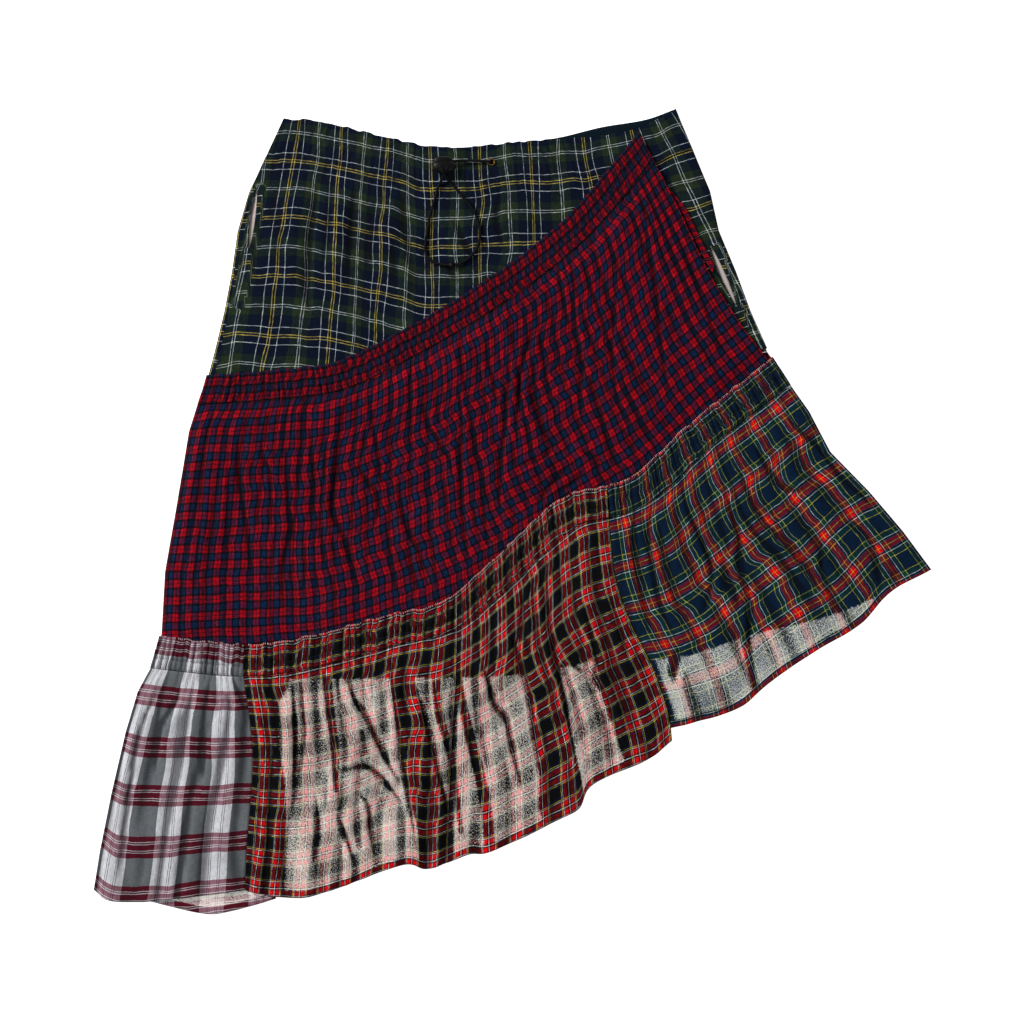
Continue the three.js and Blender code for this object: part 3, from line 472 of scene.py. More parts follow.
# Yarns: colour as it looks, and how strongly it shows over the yarn that it crosses
YARN = {
    "navy": (9, 21, 38, 0.5), "olive": (36, 48, 33, 0.5), "yellow": (212, 184, 84, 0.78),
    "white": (216, 222, 222, 0.82), "red": (158, 3, 28, 0.45), "dark": (5, 9, 16, 0.75), "blue": (8, 36, 66,
        0.5),
    "chalk": (216, 216, 221, 0.75), "ash": (98, 102, 106, 0.15), "fog": (108, 112, 114, 0.08),
    "pencil": (60, 66, 78, 0.6), "wine": (78, 6, 22, 0.95), "pale": (180, 174, 178, 0.42),
    "black": (8, 9, 11, 0.6), "deep_blue": (12, 32, 88, 0.6), "scarlet": (214, 12, 20, 0.4),
    "straw": (212, 196, 60, 0.8), "bottle": (16, 56, 48, 0.5), "marine": (5, 32, 54, 0.5),
    "slate": (40, 70, 110, 0.6),
}


def stripes(g, coordinate, sett, period_scale=1.0):
    """Colour and strength of a mirrored sett at a coordinate in millimetres."""
    half = sum(w for w, _ in sett)
    folded = g.math("PINGPONG", g.math("DIVIDE", coordinate, period_scale), half)
    ramp = g.node("ShaderNodeValToRGB", {0: g.math("DIVIDE", folded, half)})
    ramp.color_ramp.interpolation = "CONSTANT"
    at = 0.0
    for i, (width, yarn) in enumerate(sett):
        stops = ramp.color_ramp.elements
        stop = stops[0] if i == 0 else stops[1] if i == 1 else stops.new(at / half)
        stop.position = at / half
        *colour, strength = YARN[yarn]
        stop.color = (*(c / 255 for c in colour), strength)
        at += width
    return ramp.outputs[0], ramp.outputs[1]


OPENNESS = 0.7  # share of light threads and gaps where a single ply has light behind it
SEE_THROUGH = 0.5  # how much of the table shows through them
# Painted light: the colour of threads with light behind them, mixed into the base colour where the cloth is
# thin
LIT_THREAD = (1.0, 0.97, 0.9, 1)
# Painted shade: a near black mixed into the cloth's colour in folds and under gathered headers
PAINTED_FOLD_SHADE = (0.02, 0.02, 0.03, 1)


def checked(name, warp, weft, phase, scales=(1.0, 1.0), heather=0.25, glow=0.92, slack=0.9):
    """Woven cloth whose two coloured setts cross. Where it is thin, the table shows between its threads, and
    the base colour there is painted paler as painted backlight.
    """
    g = Graph(name)
    uv = g.node("ShaderNodeUVMap", uv_map="cloth").outputs[0]
    mm = g.node("ShaderNodeVectorMath", {0: uv, "Scale": 1000.0}, operation="SCALE").outputs[0]
    sep = g.node("ShaderNodeSeparateXYZ", {0: mm})
    wander = g.math("MULTIPLY", g.math("SUBTRACT", g.noise(mm, 0.5), 0.5), 0.8)
    across = g.math("ADD", g.math("SUBTRACT", sep.outputs[0], phase[0]), wander)
    down = g.math("ADD", g.math("SUBTRACT", sep.outputs[1], phase[1]), wander)
    warp_colour, warp_weight = stripes(g, across, warp, scales[0])
    weft_colour, weft_weight = stripes(g, down, weft, scales[1])
    warp_yarn = g.noise(g.scaled(mm, 2.1, 0.16), 1.0, 1.0)
    weft_yarn = g.noise(g.scaled(mm, 0.16, 2.1), 1.0, 1.0)
    share = g.math("DIVIDE", weft_weight, g.math("ADD", warp_weight, weft_weight))
    over = g.math("MULTIPLY", g.math("SUBTRACT", weft_yarn, warp_yarn), slack)
    share = g.math("ADD", share, over, clamp=True)
    colour = g.mix(share, warp_colour, weft_colour)
    slub = g.math("ADD", warp_yarn, weft_yarn)
    tone = g.math("ADD", g.math("MULTIPLY", g.math("SUBTRACT", slub, 1.0), 4 * heather), 1.0)
    tone = g.math("ADD", tone, g.math("MULTIPLY", g.math("SUBTRACT", g.noise(mm, 0.03), 0.5), 0.3))
    toned = g.node("ShaderNodeHueSaturation", {"Value": tone, "Color": colour}).outputs[0]
    # Painted shade: the cloth's colour is darkened towards PAINTED_FOLD_SHADE where the mesh marks a fold
    fold_shade_mask = g.attribute("painted_fold_shade")
    toned = g.mix(g.math("MULTIPLY", fold_shade_mask, 0.45), toned, PAINTED_FOLD_SHADE)
    thin = g.attribute("thin")
    hue_parts = g.node("ShaderNodeSeparateColor", {0: colour}, mode="HSV").outputs
    bright = hue_parts[2]
    vivid = g.math("MULTIPLY", hue_parts[1], bright)
    grain = g.math("ADD", *(g.noise(g.scaled(mm, *ways), 1.0, 1.0) for ways in ((1.5, 0.5), (0.5, 1.5))))
    grain = g.math("ADD", g.math("MULTIPLY", grain, 2.6), g.math("MULTIPLY", g.noise(mm, 1.0, 0.0), 1.6))
    level = g.math("ADD", g.math("SUBTRACT", grain, 3.4), g.math("MULTIPLY", bright, 1.1))
    closed = g.math("MULTIPLY", g.math("SUBTRACT", 1.0, thin), 2.0)
    level = g.math("SUBTRACT", g.math("ADD", level, OPENNESS), closed, clamp=True)
    see_through_and_backlight = g.math("MULTIPLY", level, g.math("MULTIPLY", thin, 5.0, clamp=True))
    # Painted light: where the cloth is thin its base colour is painted paler, as if lit from behind; the
    # alpha below lets the table show through
    backlight_share = g.math("SUBTRACT", glow, g.math("MULTIPLY", vivid, 0.55))
    pale = g.mix(backlight_share, toned, LIT_THREAD)
    lit = g.mix(see_through_and_backlight, toned, pale)
    seen = g.node("ShaderNodeGamma", {0: lit, 1: 2.2}).outputs[0]
    alpha = g.math("SUBTRACT", 1.0, g.math("MULTIPLY", see_through_and_backlight, SEE_THROUGH), clamp=True)
    weave = g.math("ADD", g.math("MULTIPLY", slub, 0.5), g.math("MULTIPLY", g.noise(mm, 0.22, 3.0), 1.6))
    bump = g.bump(weave, 0.5, 0.0006)
    return g.surface({"Base Color": seen, "Roughness": 0.88, "Alpha": alpha, "Normal": bump,
        "Specular IOR Level": 0.1, "Sheen Weight": 0.03, "Sheen Roughness": 0.5})


# Setts: stripes from one mirror line to the next, in millimetres. The first and last show twice as wide
NAVY_SETT = [(0.85, "navy"), (0.85, "yellow"), (6.95, "navy"), (0.7, "white"), (11.6, "navy"), (7.9, "olive"),
    (0.65, "white"), (1.0, "olive")]
RED_SETT = [(0.3, "dark"), (3.3, "red"), (2.1, "dark"), (2.75, "blue")]
GREY_WARP = [(3.3, "chalk"), (0.5, "pencil"), (1.5, "chalk"), (0.5, "pencil"), (6.95, "chalk"),
    (13.25, "ash")]
GREY_WEFT = [(2.5, "wine"), (0.8, "pale"), (1.2, "wine"), (0.8, "pale"), (4.8, "wine"), (14.15, "fog")]
BLACK_SETT = [(4.3, "black"), (0.7, "deep_blue"), (1.15, "black"), (0.6, "straw"), (0.75, "black"),
    (0.6, "white"), (0.7, "black"), (3.7, "scarlet"), (1.2, "black"), (0.4, "white")]
GREEN_SETT = [(8.2, "marine"), (0.6, "straw"), (4.9, "bottle"), (0.75, "white"), (1.4, "dark"),
    (0.8, "slate"), (3.8, "scarlet"), (0.25, "straw")]


MOTTLING = 0.2


def tones(colour, spread):
    """A darker and a lighter tone of a colour."""
    dark = tuple(c * (1 - spread) for c in colour)
    return (*dark, 1), (*(min(1, c * (1 + spread)) for c in colour), 1)


def plain(name, colour, roughness, bump_scale, bump, metallic=0.0, shine=0.5):
    g = Graph(name)
    where = g.place()
    fine = g.noise(where, bump_scale, 3.0)
    tint = g.mix(fine, *tones(colour, MOTTLING))
    rough = g.math("ADD", g.math("MULTIPLY", fine, 0.2), roughness - 0.1)
    normal = g.bump(fine, bump, 0.0002)
    return g.surface({"Base Color": tint, "Roughness": rough, "Metallic": metallic, "Normal": normal,
        "Specular IOR Level": shine})


# Each check's phase is where the middle of its first stripe lies. Its scales widen warp and weft
MATERIALS = {
    "yoke": checked("navy_green_check", NAVY_SETT, NAVY_SETT, (0, 44.0), (1.0, 0.955), heather=0.2),
    "tier2": checked("red_navy_check", RED_SETT, RED_SETT, (0, 8), (0.93, 1.0), heather=0.3, glow=0.4),
    "grey": checked("grey_white_plaid", GREY_WARP, GREY_WEFT, (16.5, 8.5), heather=0.09, glow=0.7,
        slack=0.25),
    "black": checked("black_red_tartan", BLACK_SETT, BLACK_SETT, (0, 18.85), (1.085, 1.053)),
    "green": checked("green_red_tartan", GREEN_SETT, GREEN_SETT, (4, 20), heather=0.2),
    "facing": plain("waist_facing", srgb(5, 21, 32), 0.9, 1200, 0.4, shine=0.1),
    "lining": plain("pocket_lining", srgb(196, 180, 176), 0.9, 900, 0.4),
    "thread_dark": plain("dark_thread", srgb(24, 26, 34), 0.7, 2000, 0.3),
    "thread_pale": plain("pale_thread", srgb(206, 196, 196), 0.75, 2000, 0.3),
    "brass": plain("worn_brass", srgb(150, 112, 52), 0.36, 700, 0.25, metallic=1.0),
    "plastic": plain("black_plastic", srgb(5, 6, 6), 0.42, 1500, 0.15, shine=0.16),
}


def cord_material():
    """Braided elastic: two sets of slanting ribs."""
    g = Graph("braided_cord")
    where = g.place()
    ribs = [g.node("ShaderNodeTexWave", {"Vector": g.scaled(where, 1, sign), "Scale": 420.0,
        "Distortion": 1.0}, bands_direction="DIAGONAL").outputs["Fac"] for sign in (1, -1)]
    braid = g.math("MULTIPLY", ribs[0], ribs[1])
    tint = g.mix(braid, (*srgb(3, 3, 4), 1), (*srgb(14, 14, 15), 1))
    normal = g.bump(braid, 0.6, 0.0003)
    return g.surface({"Base Color": tint, "Roughness": 0.7, "Normal": normal, "Specular IOR Level": 0.15})


MATERIALS["cord"] = cord_material()

# Meshes


def make_mesh(name, points, faces, material, uv=None, attributes=None, flat_from=None):
    """points in millimetres in the drawing's frame; faces is an array of quads, or a list of polygons."""
    mesh = bpy.data.meshes.new(name)
    placed = (np.asarray(points, float) + np.array([*SHIFT, 0])) * MM
    mesh.from_pydata(placed.tolist(), [], [list(map(int, f)) for f in faces])
    if uv is not None:
        layer = mesh.uv_layers.new(name="cloth")
        loops = np.zeros(len(mesh.loops), int)
        mesh.loops.foreach_get("vertex_index", loops)
        layer.data.foreach_set("uv", (np.asarray(uv)[loops] * MM).astype(np.float32).ravel())
    for key, values in (attributes or {}).items():
        mesh.attributes.new(key, "FLOAT", "POINT").data.foreach_set("value", np.asarray(values, np.float32))
    rounded = np.ones(len(mesh.polygons), bool)
    if flat_from is not None:
        rounded[flat_from:] = False
    mesh.polygons.foreach_set("use_smooth", rounded)
    mesh.materials.append(MATERIALS[material])
    mesh.update()
    obj = bpy.data.objects.new(name, mesh)
    bpy.context.scene.collection.objects.link(obj)
    return obj


def settle(obj, nodes=()):
    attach(obj, "root")
    if nodes:
        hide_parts(*nodes)
    return obj


def coons(edges, us, vs):
    """Points that fill the space between four edges: top, bottom, left and right."""
    top, bottom = edges[0](us), edges[1](us)
    corners = [top[0], top[-1], bottom[0], bottom[-1]]
    pinned = lambda e, a, b: e(vs) + (a - e(0.0)) * (1 - vs)[:, None] + (b - e(1.0)) * vs[:, None]
    left, right = pinned(edges[2], corners[0], corners[2]), pinned(edges[3], corners[1], corners[3])
    u, v = us[None, :, None], vs[:, None, None]
    across = top[None] * (1 - v) + bottom[None] * v
    down = left[:, None] * (1 - u) + right[:, None] * u
    flat = (corners[0] * (1 - u) + corners[1] * u) * (1 - v) + (corners[2] * (1 - u) + corners[3] * u) * v
    return across + down - flat


def run_along(p, axis, k):
    """Length run along a grid's rows or columns, with its heights counted k times."""
    d = np.diff(p, axis=axis)
    step = np.sqrt(d[..., 0] ** 2 + d[..., 1] ** 2 + (k * d[..., 2]) ** 2)
    total = np.cumsum(step, axis=axis)
    zero = np.zeros_like(np.take(total, [0], axis=axis))
    return np.concatenate([zero, total], axis=axis)


def folded(z):
    """How far a grid of heights lies below its neighbours, from 0 to 1. It sets the painted shade in folds.
    """
    soft = z
    for axis, reach in ((1, 4), (0, 2)):
        pad = [(0, 0), (0, 0)]
        pad[axis] = (reach, reach)
        wide = np.pad(soft, pad, mode="edge")
        beside = [np.take(wide, range(k, k + z.shape[axis]), axis=axis) for k in range(2 * reach + 1)]
        soft = np.mean(beside, axis=0)
    return np.clip((soft - z) / 0.7, 0, 1)


class Ply:
    """One piece of cloth: its grid of points, and what is laid on it afterwards."""

    def __init__(self, name, cloth, edges, columns, rows, height, run, thickness=SHEER_PLY, hem=0.0,
            nodes=None, thin=None, hole=None, weave=None, start=(0, 0), steepness=2.0, wobble=1.2, deep=None,
            ripple=0.0, shade=0.0, held="gathered", on=(), carries=()):
        self.us = np.linspace(0, 1, columns + 1)
        self.vs = np.linspace(0, 1, rows + 1)
        if hem:
            body = np.linspace(0, 1 - hem, rows - 3)
            self.vs = np.concatenate([body, [1 - hem + 0.003], np.linspace(1 - hem * 0.5, 1, 3)])
        xy = coons(edges, self.us, self.vs)
        x, y = xy[..., 0], xy[..., 1]
        u, v = np.meshgrid(self.us, self.vs)
        y += ripple * noise(x / 5.5, 0 * x, 8) * np.maximum(1 - 4 * v, 0)
        z = height(x, y, u, v)
        self.p = np.dstack([x, y, z])
        self.thickness = thickness
        lift = np.full(z.shape, thickness) + 0.5 * (v > 1 - hem + 0.001) * (hem > 0)
        if weave is None:
            across = run_along(self.p, 1, steepness)
            across = across / across[:, -1:] * run + start[0]
            down = v * deep if deep else run_along(self.p, 0, 0.6)
            down = start[1] + down + wobble * noise(x / 23, y / 31, 5)
            down = down + 0.5 * wobble * noise(x / 9, y / 14, 6)
        else:
            across, down = weave(x, y, z, u, v)
        # Painted shade: darker where the grid lies below its neighbours, and darker all over by shade, as in
        # gathered headers
        painted_fold_shade = np.minimum(folded(z) + shade * (0.6 + 0.4 * noise(u * run / 4, v * 3, 9)), 1)
        clear = (thin(x, y, u, v) if thin else 0 * x) * (1 - 0.4 * painted_fold_shade) * (v <= 1 - hem)
        self.mesh(name, cloth, nodes or [name], across, down, lift, {"thin": clear, "painted_fold_shade": painted_fold_shade}, hole)

    def mesh(self, name, cloth, nodes, across, down, lift, shades, hole):
        rows, columns = self.p.shape[0] - 1, self.p.shape[1] - 1
        low = self.p.reshape(-1, 3)
        count = len(low)
        i = np.arange(rows)[:, None] * (columns + 1) + np.arange(columns)[None, :]
        quads = np.stack([i, i + columns + 1, i + columns + 2, i + 1], -1).reshape(-1, 4)
        if hole is not None:
            low, kept = hole(low, quads)
            quads = quads[kept]
        high = low + np.stack([0 * lift.ravel(), 0 * lift.ravel(), lift.ravel()], -1)
        a, b = quads, np.roll(quads, -1, axis=1)
        keys, back = (a * count + b).ravel(), (b * count + a).ravel()
        edge = ~np.isin(keys, back)
        a, b = a.ravel()[edge], b.ravel()[edge]
        rim = np.stack([a + count, b + count, b, a], -1)
        faces = np.vstack([quads, quads[:, ::-1] + count, rim])
        used, faces = np.unique(faces, return_inverse=True)
        faces = faces.reshape(-1, 4)
        both = lambda grid: np.tile(grid.ravel(), 2)[used]
        points = np.vstack([high, low])[used]
        uv = np.stack([both(across), both(down)], -1)
        values = {k: both(w) for k, w in shades.items()}
        self.obj = make_mesh(name + "_cloth", points, faces, cloth, uv, values, flat_from=2 * len(quads))
        settle(self.obj, nodes)
        self.high = self.p + np.dstack([0 * lift, 0 * lift, lift])

    def at(self, u, v, lift=0.0):
        """Points on the upper side."""
        ui = np.interp(np.clip(u, 0, 1), self.us, np.arange(len(self.us)))
        vi = np.interp(np.clip(v, 0, 1), self.vs, np.arange(len(self.vs)))
        i, j = np.minimum(ui.astype(int), len(self.us) - 2), np.minimum(vi.astype(int), len(self.vs) - 2)
        fu, fv = (ui - i)[..., None], (vi - j)[..., None]
        g = self.high
        upper = g[j, i] * (1 - fu) + g[j, i + 1] * fu
        lower = g[j + 1, i] * (1 - fu) + g[j + 1, i + 1] * fu
        return upper * (1 - fv) + lower * fv + np.array([0, 0, lift])


STITCH_BOW = 0.15  # rise of a stitch between its ends
STITCH_FILL = 0.72  # share of the pitch that a stitch takes up


def threads(name, starts, ends, radius, material, slot):
    """Short sewn stitches, each a thin closed spindle that dips at its two ends."""
    rings, sides = 3, 4
    starts, ends = np.asarray(starts, float), np.asarray(ends, float)
    along = ends - starts
    span = np.linalg.norm(along, axis=1, keepdims=True)
    along = along / span
    sideways = np.cross(along, [0, 0, 1.0])
    sideways /= np.linalg.norm(sideways, axis=1, keepdims=True)
    up = np.cross(sideways, along)
    ts = np.linspace(0, 1, rings + 2)
    n = len(starts)
    blocks = [starts[:, None]]
    for t in ts[1:-1]:
        centre = starts + along * span * t + up * STITCH_BOW * math.sin(math.pi * t)
        r = radius * (0.55 + 0.45 * math.sin(math.pi * t))
        angle = 2 * math.pi * np.arange(sides) / sides
        spokes = np.cos(angle)[:, None] * sideways[:, None] + np.sin(angle)[:, None] * up[:, None]
        blocks.append(centre[:, None] + r * spokes)
    blocks.append(ends[:, None])
    points = np.concatenate(blocks, axis=1)
    per = points.shape[1]
    local = []
    for k in range(sides):
        k2 = (k + 1) % sides
        local.append((0, 1 + k, 1 + k2))
        for ring in range(rings - 1):
            a = 1 + ring * sides
            local.append((a + k, a + sides + k, a + sides + k2, a + k2))
        a = 1 + (rings - 1) * sides
        local.append((a + k, per - 1, a + k2))
    faces = [tuple(i + s * per for i in f) for s in range(n) for f in local]
    settle(make_mesh(name, points.reshape(-1, 3), faces, material))


def spaced(ply, v, u0, u1, pitch, first, jitter, rng):
    """Shares of a ply's width about one pitch apart."""
    line = ply.at(np.linspace(u0, u1, 400), np.full(400, v))
    n = int(np.linalg.norm(np.diff(line, axis=0), axis=1).sum() / pitch)
    return u0 + (u1 - u0) * (np.arange(n) + first + rng.uniform(-jitter, jitter, n)) / n


def row_of(ply, v, u0, u1, pitch):
    """Start and end points of a row of stitches along a ply."""
    t = spaced(ply, v, u0, u1, pitch, 0.0, 0.08, np.random.default_rng(3))
    heights = np.full(len(t), v)
    return ply.at(t, heights, 0.05), ply.at(t + (u1 - u0) * STITCH_FILL / len(t), heights, 0.05)


def joined_rows(rows):
    return np.vstack([a for a, _ in rows]), np.vstack([b for _, b in rows])


# Camera, light and floor

CAMERA_HEIGHT = 2.4
VIEW = 1.024
MIDDLE = (-1.0, -0.5)  # the picture's middle on the drawing
camera = bpy.data.objects.new("camera", bpy.data.cameras.new("camera"))
camera.data.lens = 36 * CAMERA_HEIGHT / VIEW
camera.location = ((SHIFT[0] + MIDDLE[0]) * MM, (SHIFT[1] + MIDDLE[1]) * MM, CAMERA_HEIGHT)
bpy.context.scene.collection.objects.link(camera)
bpy.context.scene.camera = camera


def softbox(name, place, size, power):
    light = bpy.data.objects.new(name, bpy.data.lights.new(name, "AREA"))
    light.data.shape, light.data.size, light.data.energy = "DISK", size, power
    light.location = place
    aim = -np.array(place)
    tilt, turn = math.atan2(math.hypot(aim[0], aim[1]), -aim[2]), math.atan2(aim[1], aim[0])
    light.rotation_euler = (tilt, 0, turn - math.pi / 2)
    bpy.context.scene.collection.objects.link(light)


softbox("key", (-3.2, 2.1, 2.3), 1.1, 190)
softbox("fill", (2.4, -1.4, 4.0), 3.0, 24)
world = bpy.data.worlds.new("studio")
world.use_nodes = True
world.node_tree.nodes["Background"].inputs[0].default_value = (1, 1, 1, 1)
world.node_tree.nodes["Background"].inputs[1].default_value = 0.30
bpy.context.scene.world = world
bpy.context.scene.view_settings.view_transform = "Standard"


def floor_material():
    """A pale lit table, with a faint unevenness."""
    g = Graph("pale_floor")
    where = g.place()
    tint = g.mix(g.noise(where, 6.0), (0.90, 0.90, 0.90, 1), (0.94, 0.94, 0.94, 1))
    return g.surface({"Base Color": tint, "Roughness": 0.9, "Emission Color": (1, 1, 1, 1),
        "Emission Strength": 0.85})


MATERIALS["floor"] = floor_material()
FLOOR_REACH, FLOOR_DROP = 6000, -0.5
floor_corners = [(x, y, FLOOR_DROP) for x, y in ((-FLOOR_REACH, -FLOOR_REACH), (FLOOR_REACH, -FLOOR_REACH),
    (FLOOR_REACH, FLOOR_REACH), (-FLOOR_REACH, FLOOR_REACH))]
floor = make_mesh("floor", floor_corners, [(0, 1, 2, 3)], "floor")

# The drawcord: a route from the right eyelet to the lock, and a loop from the lock through the bead and back

WAIST_CORD = [(-60.5, 348.4, 9.4), (-55.5, 349.3, 8.6), (-45, 350, 6.9), (-34, 349.8, 6.6),
    (-26.6, 349.2, 6.9), (-22.9, 349, 6.3), (-21.6, 349, 4.9), (-21.5, 349, 3.2)]
LEFT_STRAND = [(-64.6, 345.6, 9.6), (-65.2, 342.2, 13.2), (-66.6, 338.2, 12.2), (-69.6, 333.6, 8.8),
    (-74.6, 323.7, 5.8), (-78.9, 309.3, 4.7), (-82.7, 296.9, 4.6), (-85.6, 280.6, 4.6), (-87.5, 266.3, 4.6),
    (-86, 254.8, 4.7), (-79.8, 249, 5), (-71, 246.4, 5.8), (-64.9, 245.9, 6.3)]
RIGHT_STRAND = [(-73.2, 345.6, 9.6), (-72.4, 342.4, 13.2), (-70.4, 338.6, 14.8), (-67.9, 334.6, 12.9),
    (-59.7, 325.6, 6), (-50.2, 314.1, 4.7), (-40.6, 302.6, 4.6), (-34.9, 290.2, 4.6), (-32.9, 277.7, 4.6),
    (-34.9, 265.3, 4.6), (-40.6, 256.7, 4.7), (-48.3, 250, 5), (-53.5, 247.2, 5.8), (-57.5, 246.2, 6.3)]
CORD_RADIUS = 1.35


def cord(name, route, nodes):
    line = Line(route)
    points = line(np.linspace(0, 1, int(line.length / 1.4)))
    curve = bpy.data.curves.new(name, "CURVE")
    curve.dimensions, curve.bevel_depth, curve.bevel_resolution = "3D", CORD_RADIUS * MM, 4
    curve.use_fill_caps = True
    spline = curve.splines.new("POLY")
    spline.points.add(len(points) - 1)
    placed = (points + np.array([*SHIFT, 0])) * MM
    spline.points.foreach_set("co", np.hstack([placed, np.ones((len(placed), 1))]).ravel())
    spline.use_smooth = True
    curve.materials.append(MATERIALS["cord"])
    obj = bpy.data.objects.new(name, curve)
    bpy.context.scene.collection.objects.link(obj)
    settle(obj, nodes)


def ring_faces(rings, sides, closed=True):
    """Quads between rings of points, with the last ring joined to the first where closed."""
    return [(r * sides + k, r * sides + (k + 1) % sides, (r + 1) % rings * sides + (k + 1) % sides,
        (r + 1) % rings * sides + k) for r in range(rings if closed else rings - 1) for k in range(sides)]


def turned(profile, segments):
    """Rings of points about an axis: two coordinates across it and one along it. profile: radius, height."""
    angle = 2 * math.pi * np.arange(segments) / segments
    radius, along = np.array(profile, float).T[..., None]
    return radius * np.cos(angle), radius * np.sin(angle), np.repeat(along, segments, axis=1)


BEAD = (-61.2, 245.8, 6.3, 3.3)  # centre and radius
LOCK = (-68.8, 343.6)
EYELETS = {"right": (-21.5, 349), "left": (-74.5, 349.2)}


def bead():
    bx, by, bz, r = BEAD
    hole = 1.5
    start = math.asin(hole / r)
    arc = np.linspace(start, math.pi - start, 20)
    prof = [(r * math.sin(a), r * math.cos(a)) for a in arc]
    prof += [(hole, -r * math.cos(start) * 0.6), (hole, r * math.cos(start) * 0.6)]
    y, z, x = turned(prof, 40)
    points = np.stack([x + bx, y + by, z + bz], -1).reshape(-1, 3)
    faces = [(b, a, d, c) for a, b, c, d in ring_faces(len(prof), 40)]
    return settle(make_mesh("drawcord_bead", points, faces, "plastic"), ["cord_bead"])


def eyelet(name, centre):
    seat = ON_BACK_CASING + CASING + PLY_GAP
    arc = np.linspace(0, math.pi, 9)
    ring = [(2.95 + 0.7 * math.cos(a), seat + 0.7 * math.sin(a)) for a in arc]
    prof = ring + [(2.25, ON_BACK_CASING + 0.1), (2.6, ON_BACK_CASING + 0.1), (2.6, seat)]
    x, y, z = turned(prof, 48)
    points = np.stack([x + centre[0], y + centre[1], z], -1).reshape(-1, 3)
    obj = make_mesh(f"brass_eyelet_{name}", points, ring_faces(len(prof), 48), "brass")
    settle(obj, [f"eyelet_{name}"])


def lock_body():
    """An oval lock with a sprung head in its upper edge: two rounded forms with a groove between."""
    (x, y), width, height, depth = LOCK, 23.0, 14.0, 8.4
    sides, rings = 64, 32
    a = np.linspace(-math.pi, math.pi, sides + 1)[:-1]
    b = np.linspace(-math.pi / 2, math.pi / 2, rings + 2)[1:-1]
    sp = lambda t, e: np.sign(t) * np.abs(t) ** (2 / e)
    faces = ring_faces(rings, sides, closed=False)
    faces += [(sides * rings, (k + 1) % sides, k) for k in range(sides)]
    last = (rings - 1) * sides
    faces += [(sides * rings + 1, last + k, last + (k + 1) % sides) for k in range(sides)]
    z = ON_BACK_CASING + CASING + 2 * PLY_GAP + 0.8 + depth / 2
    head = (x - 0.8, y + height / 2 - 1.4, z - 0.4)
    forms = (
        ("lock_oval", (x, y, z), (width / 2, height / 2, depth / 2), 2.3, "cord_lock"),
        ("lock_head", head, (width * 0.42, 4.6, depth * 0.42), 2.6, "cord_lock_plunger"),
    )
    for name, centre, halves, power, node in forms:
        px = centre[0] + halves[0] * sp(np.cos(b), power)[:, None] * sp(np.cos(a), power)[None]
        py = centre[1] + halves[1] * sp(np.cos(b), power)[:, None] * sp(np.sin(a), power)[None]
        pz = centre[2] + halves[2] * sp(np.sin(b), power)[:, None] * np.ones(sides)[None]
        if name == "lock_oval":
            pz = pz + np.where(pz > centre[2], -0.7 * np.exp(-(((py - centre[1] - 4.6) / 0.9) ** 2)), 0)
        poles = [(centre[0], centre[1], centre[2] + end * halves[2]) for end in (-1, 1)]
        points = np.vstack([np.stack([px, py, pz], -1).reshape(-1, 3), poles])
        settle(make_mesh(name, points, faces, "plastic"), [node])


beads = bead()
cord("drawcord_at_waist", WAIST_CORD[::-1], ["drawcord_waist"])
cord("drawcord_loop", LEFT_STRAND + RIGHT_STRAND[::-1], ["drawcord_left", "drawcord_right"])
for each, middle in EYELETS.items():
    eyelet(each, middle)
lock_body()

# Front plies

FITTINGS = [*EYELETS.values(), LOCK]


def pressed(x, y):
    """1 where the waist puckers, 0 where it lies flat: round the fittings and at the right."""
    flat = smooth((75 - x) / 25)
    for cx, cy in FITTINGS:
        flat = np.minimum(flat, smooth((np.hypot(x - cx, y - cy) - 11) / 11))
    return flat


def side_drop(u, width):
    """How much a ply comes down within 7 mm of the garment's own side edges."""
    return 0.7 * (1 - smooth(np.minimum(u, 1 - u) * width / 7.0))


def own_side(u, first, last):
    """Which half of a panel lies at the garment's own side. Only the first and the last one do."""
    return (u < 0.5) if first else (u > 0.5) if last else 0


# The yoke's upright lines: cloth coordinate, x on the plan in its upper row, and in its lower row
WAIST_X = [(-61, 242, 194), (0, 295.8, 263.7), (61, 340.8, 326.4), (122, 386, 375), (183, 430.5, 433),
    (244, 479.5, 484), (305, 532, 540), (366, 585.6, 604), (427, 637, 690), (457.5, 671, 774),
    (488, 702, 850), (549, 764, 990)]
UPPER_ROW, ROWS_APART = 148, 222
WAIST_END = 163
# The strip along each pocket mouth: its ends, and how far its check lies off the yoke's
FACINGS = [((-252, 327), (-274, 203), 14.0), ((201, 266), (233, 181), -12.0)]


def yoke_weave(x, y, z, u, v):
    """Cloth coordinates of the yoke and waist: the elastic draws the check in, and it spreads below."""
    t = (PLAN[1] - y - UPPER_ROW) / ROWS_APART
    px = x + PLAN[0] + 2.6 * noise(x / 34, y / 45, 11) + 1.2 * noise(x / 12, y / 22, 12)
    across = np.full(x.shape, float(WAIST_X[0][0]))
    last = len(WAIST_X) - 2
    for i, ((c0, a0, b0), (c1, a1, b1)) in enumerate(zip(WAIST_X[:-1], WAIST_X[1:])):
        left, right = a0 + (b0 - a0) * t, a1 + (b1 - a1) * t
        k = (px - left) / (right - left)
        across += (c1 - c0) * np.clip(k, -9 if i == 0 else 0, 9 if i == last else 1)
    down = WAIST_FRONT.y(x) + 0.3 * np.maximum(x - WAIST_END, 0) - y
    down = down + 2.6 * noise(x / 30, y / 60, 13) + 1.1 * noise(x / 12, y / 40, 14) + 0.5 * z
    for top, foot, shift in FACINGS:
        d, t = near(x, y, np.array([top, foot], float), 8)
        strip = (np.abs(d) < 5.5) & (t > 0) & (t < 1)
        down = down + shift * strip
        across = across + 0.3 * shift * strip
    return across, down


def waist_height(x, y, u, v):
    pucker = 1.3 * gathered(u, v, 58, 21) * (0.45 + 0.55 * np.abs(np.sin(2 * math.pi * v)) ** 0.6)
    return ON_BACK_CASING + 0.1 + pucker * pressed(x, y)


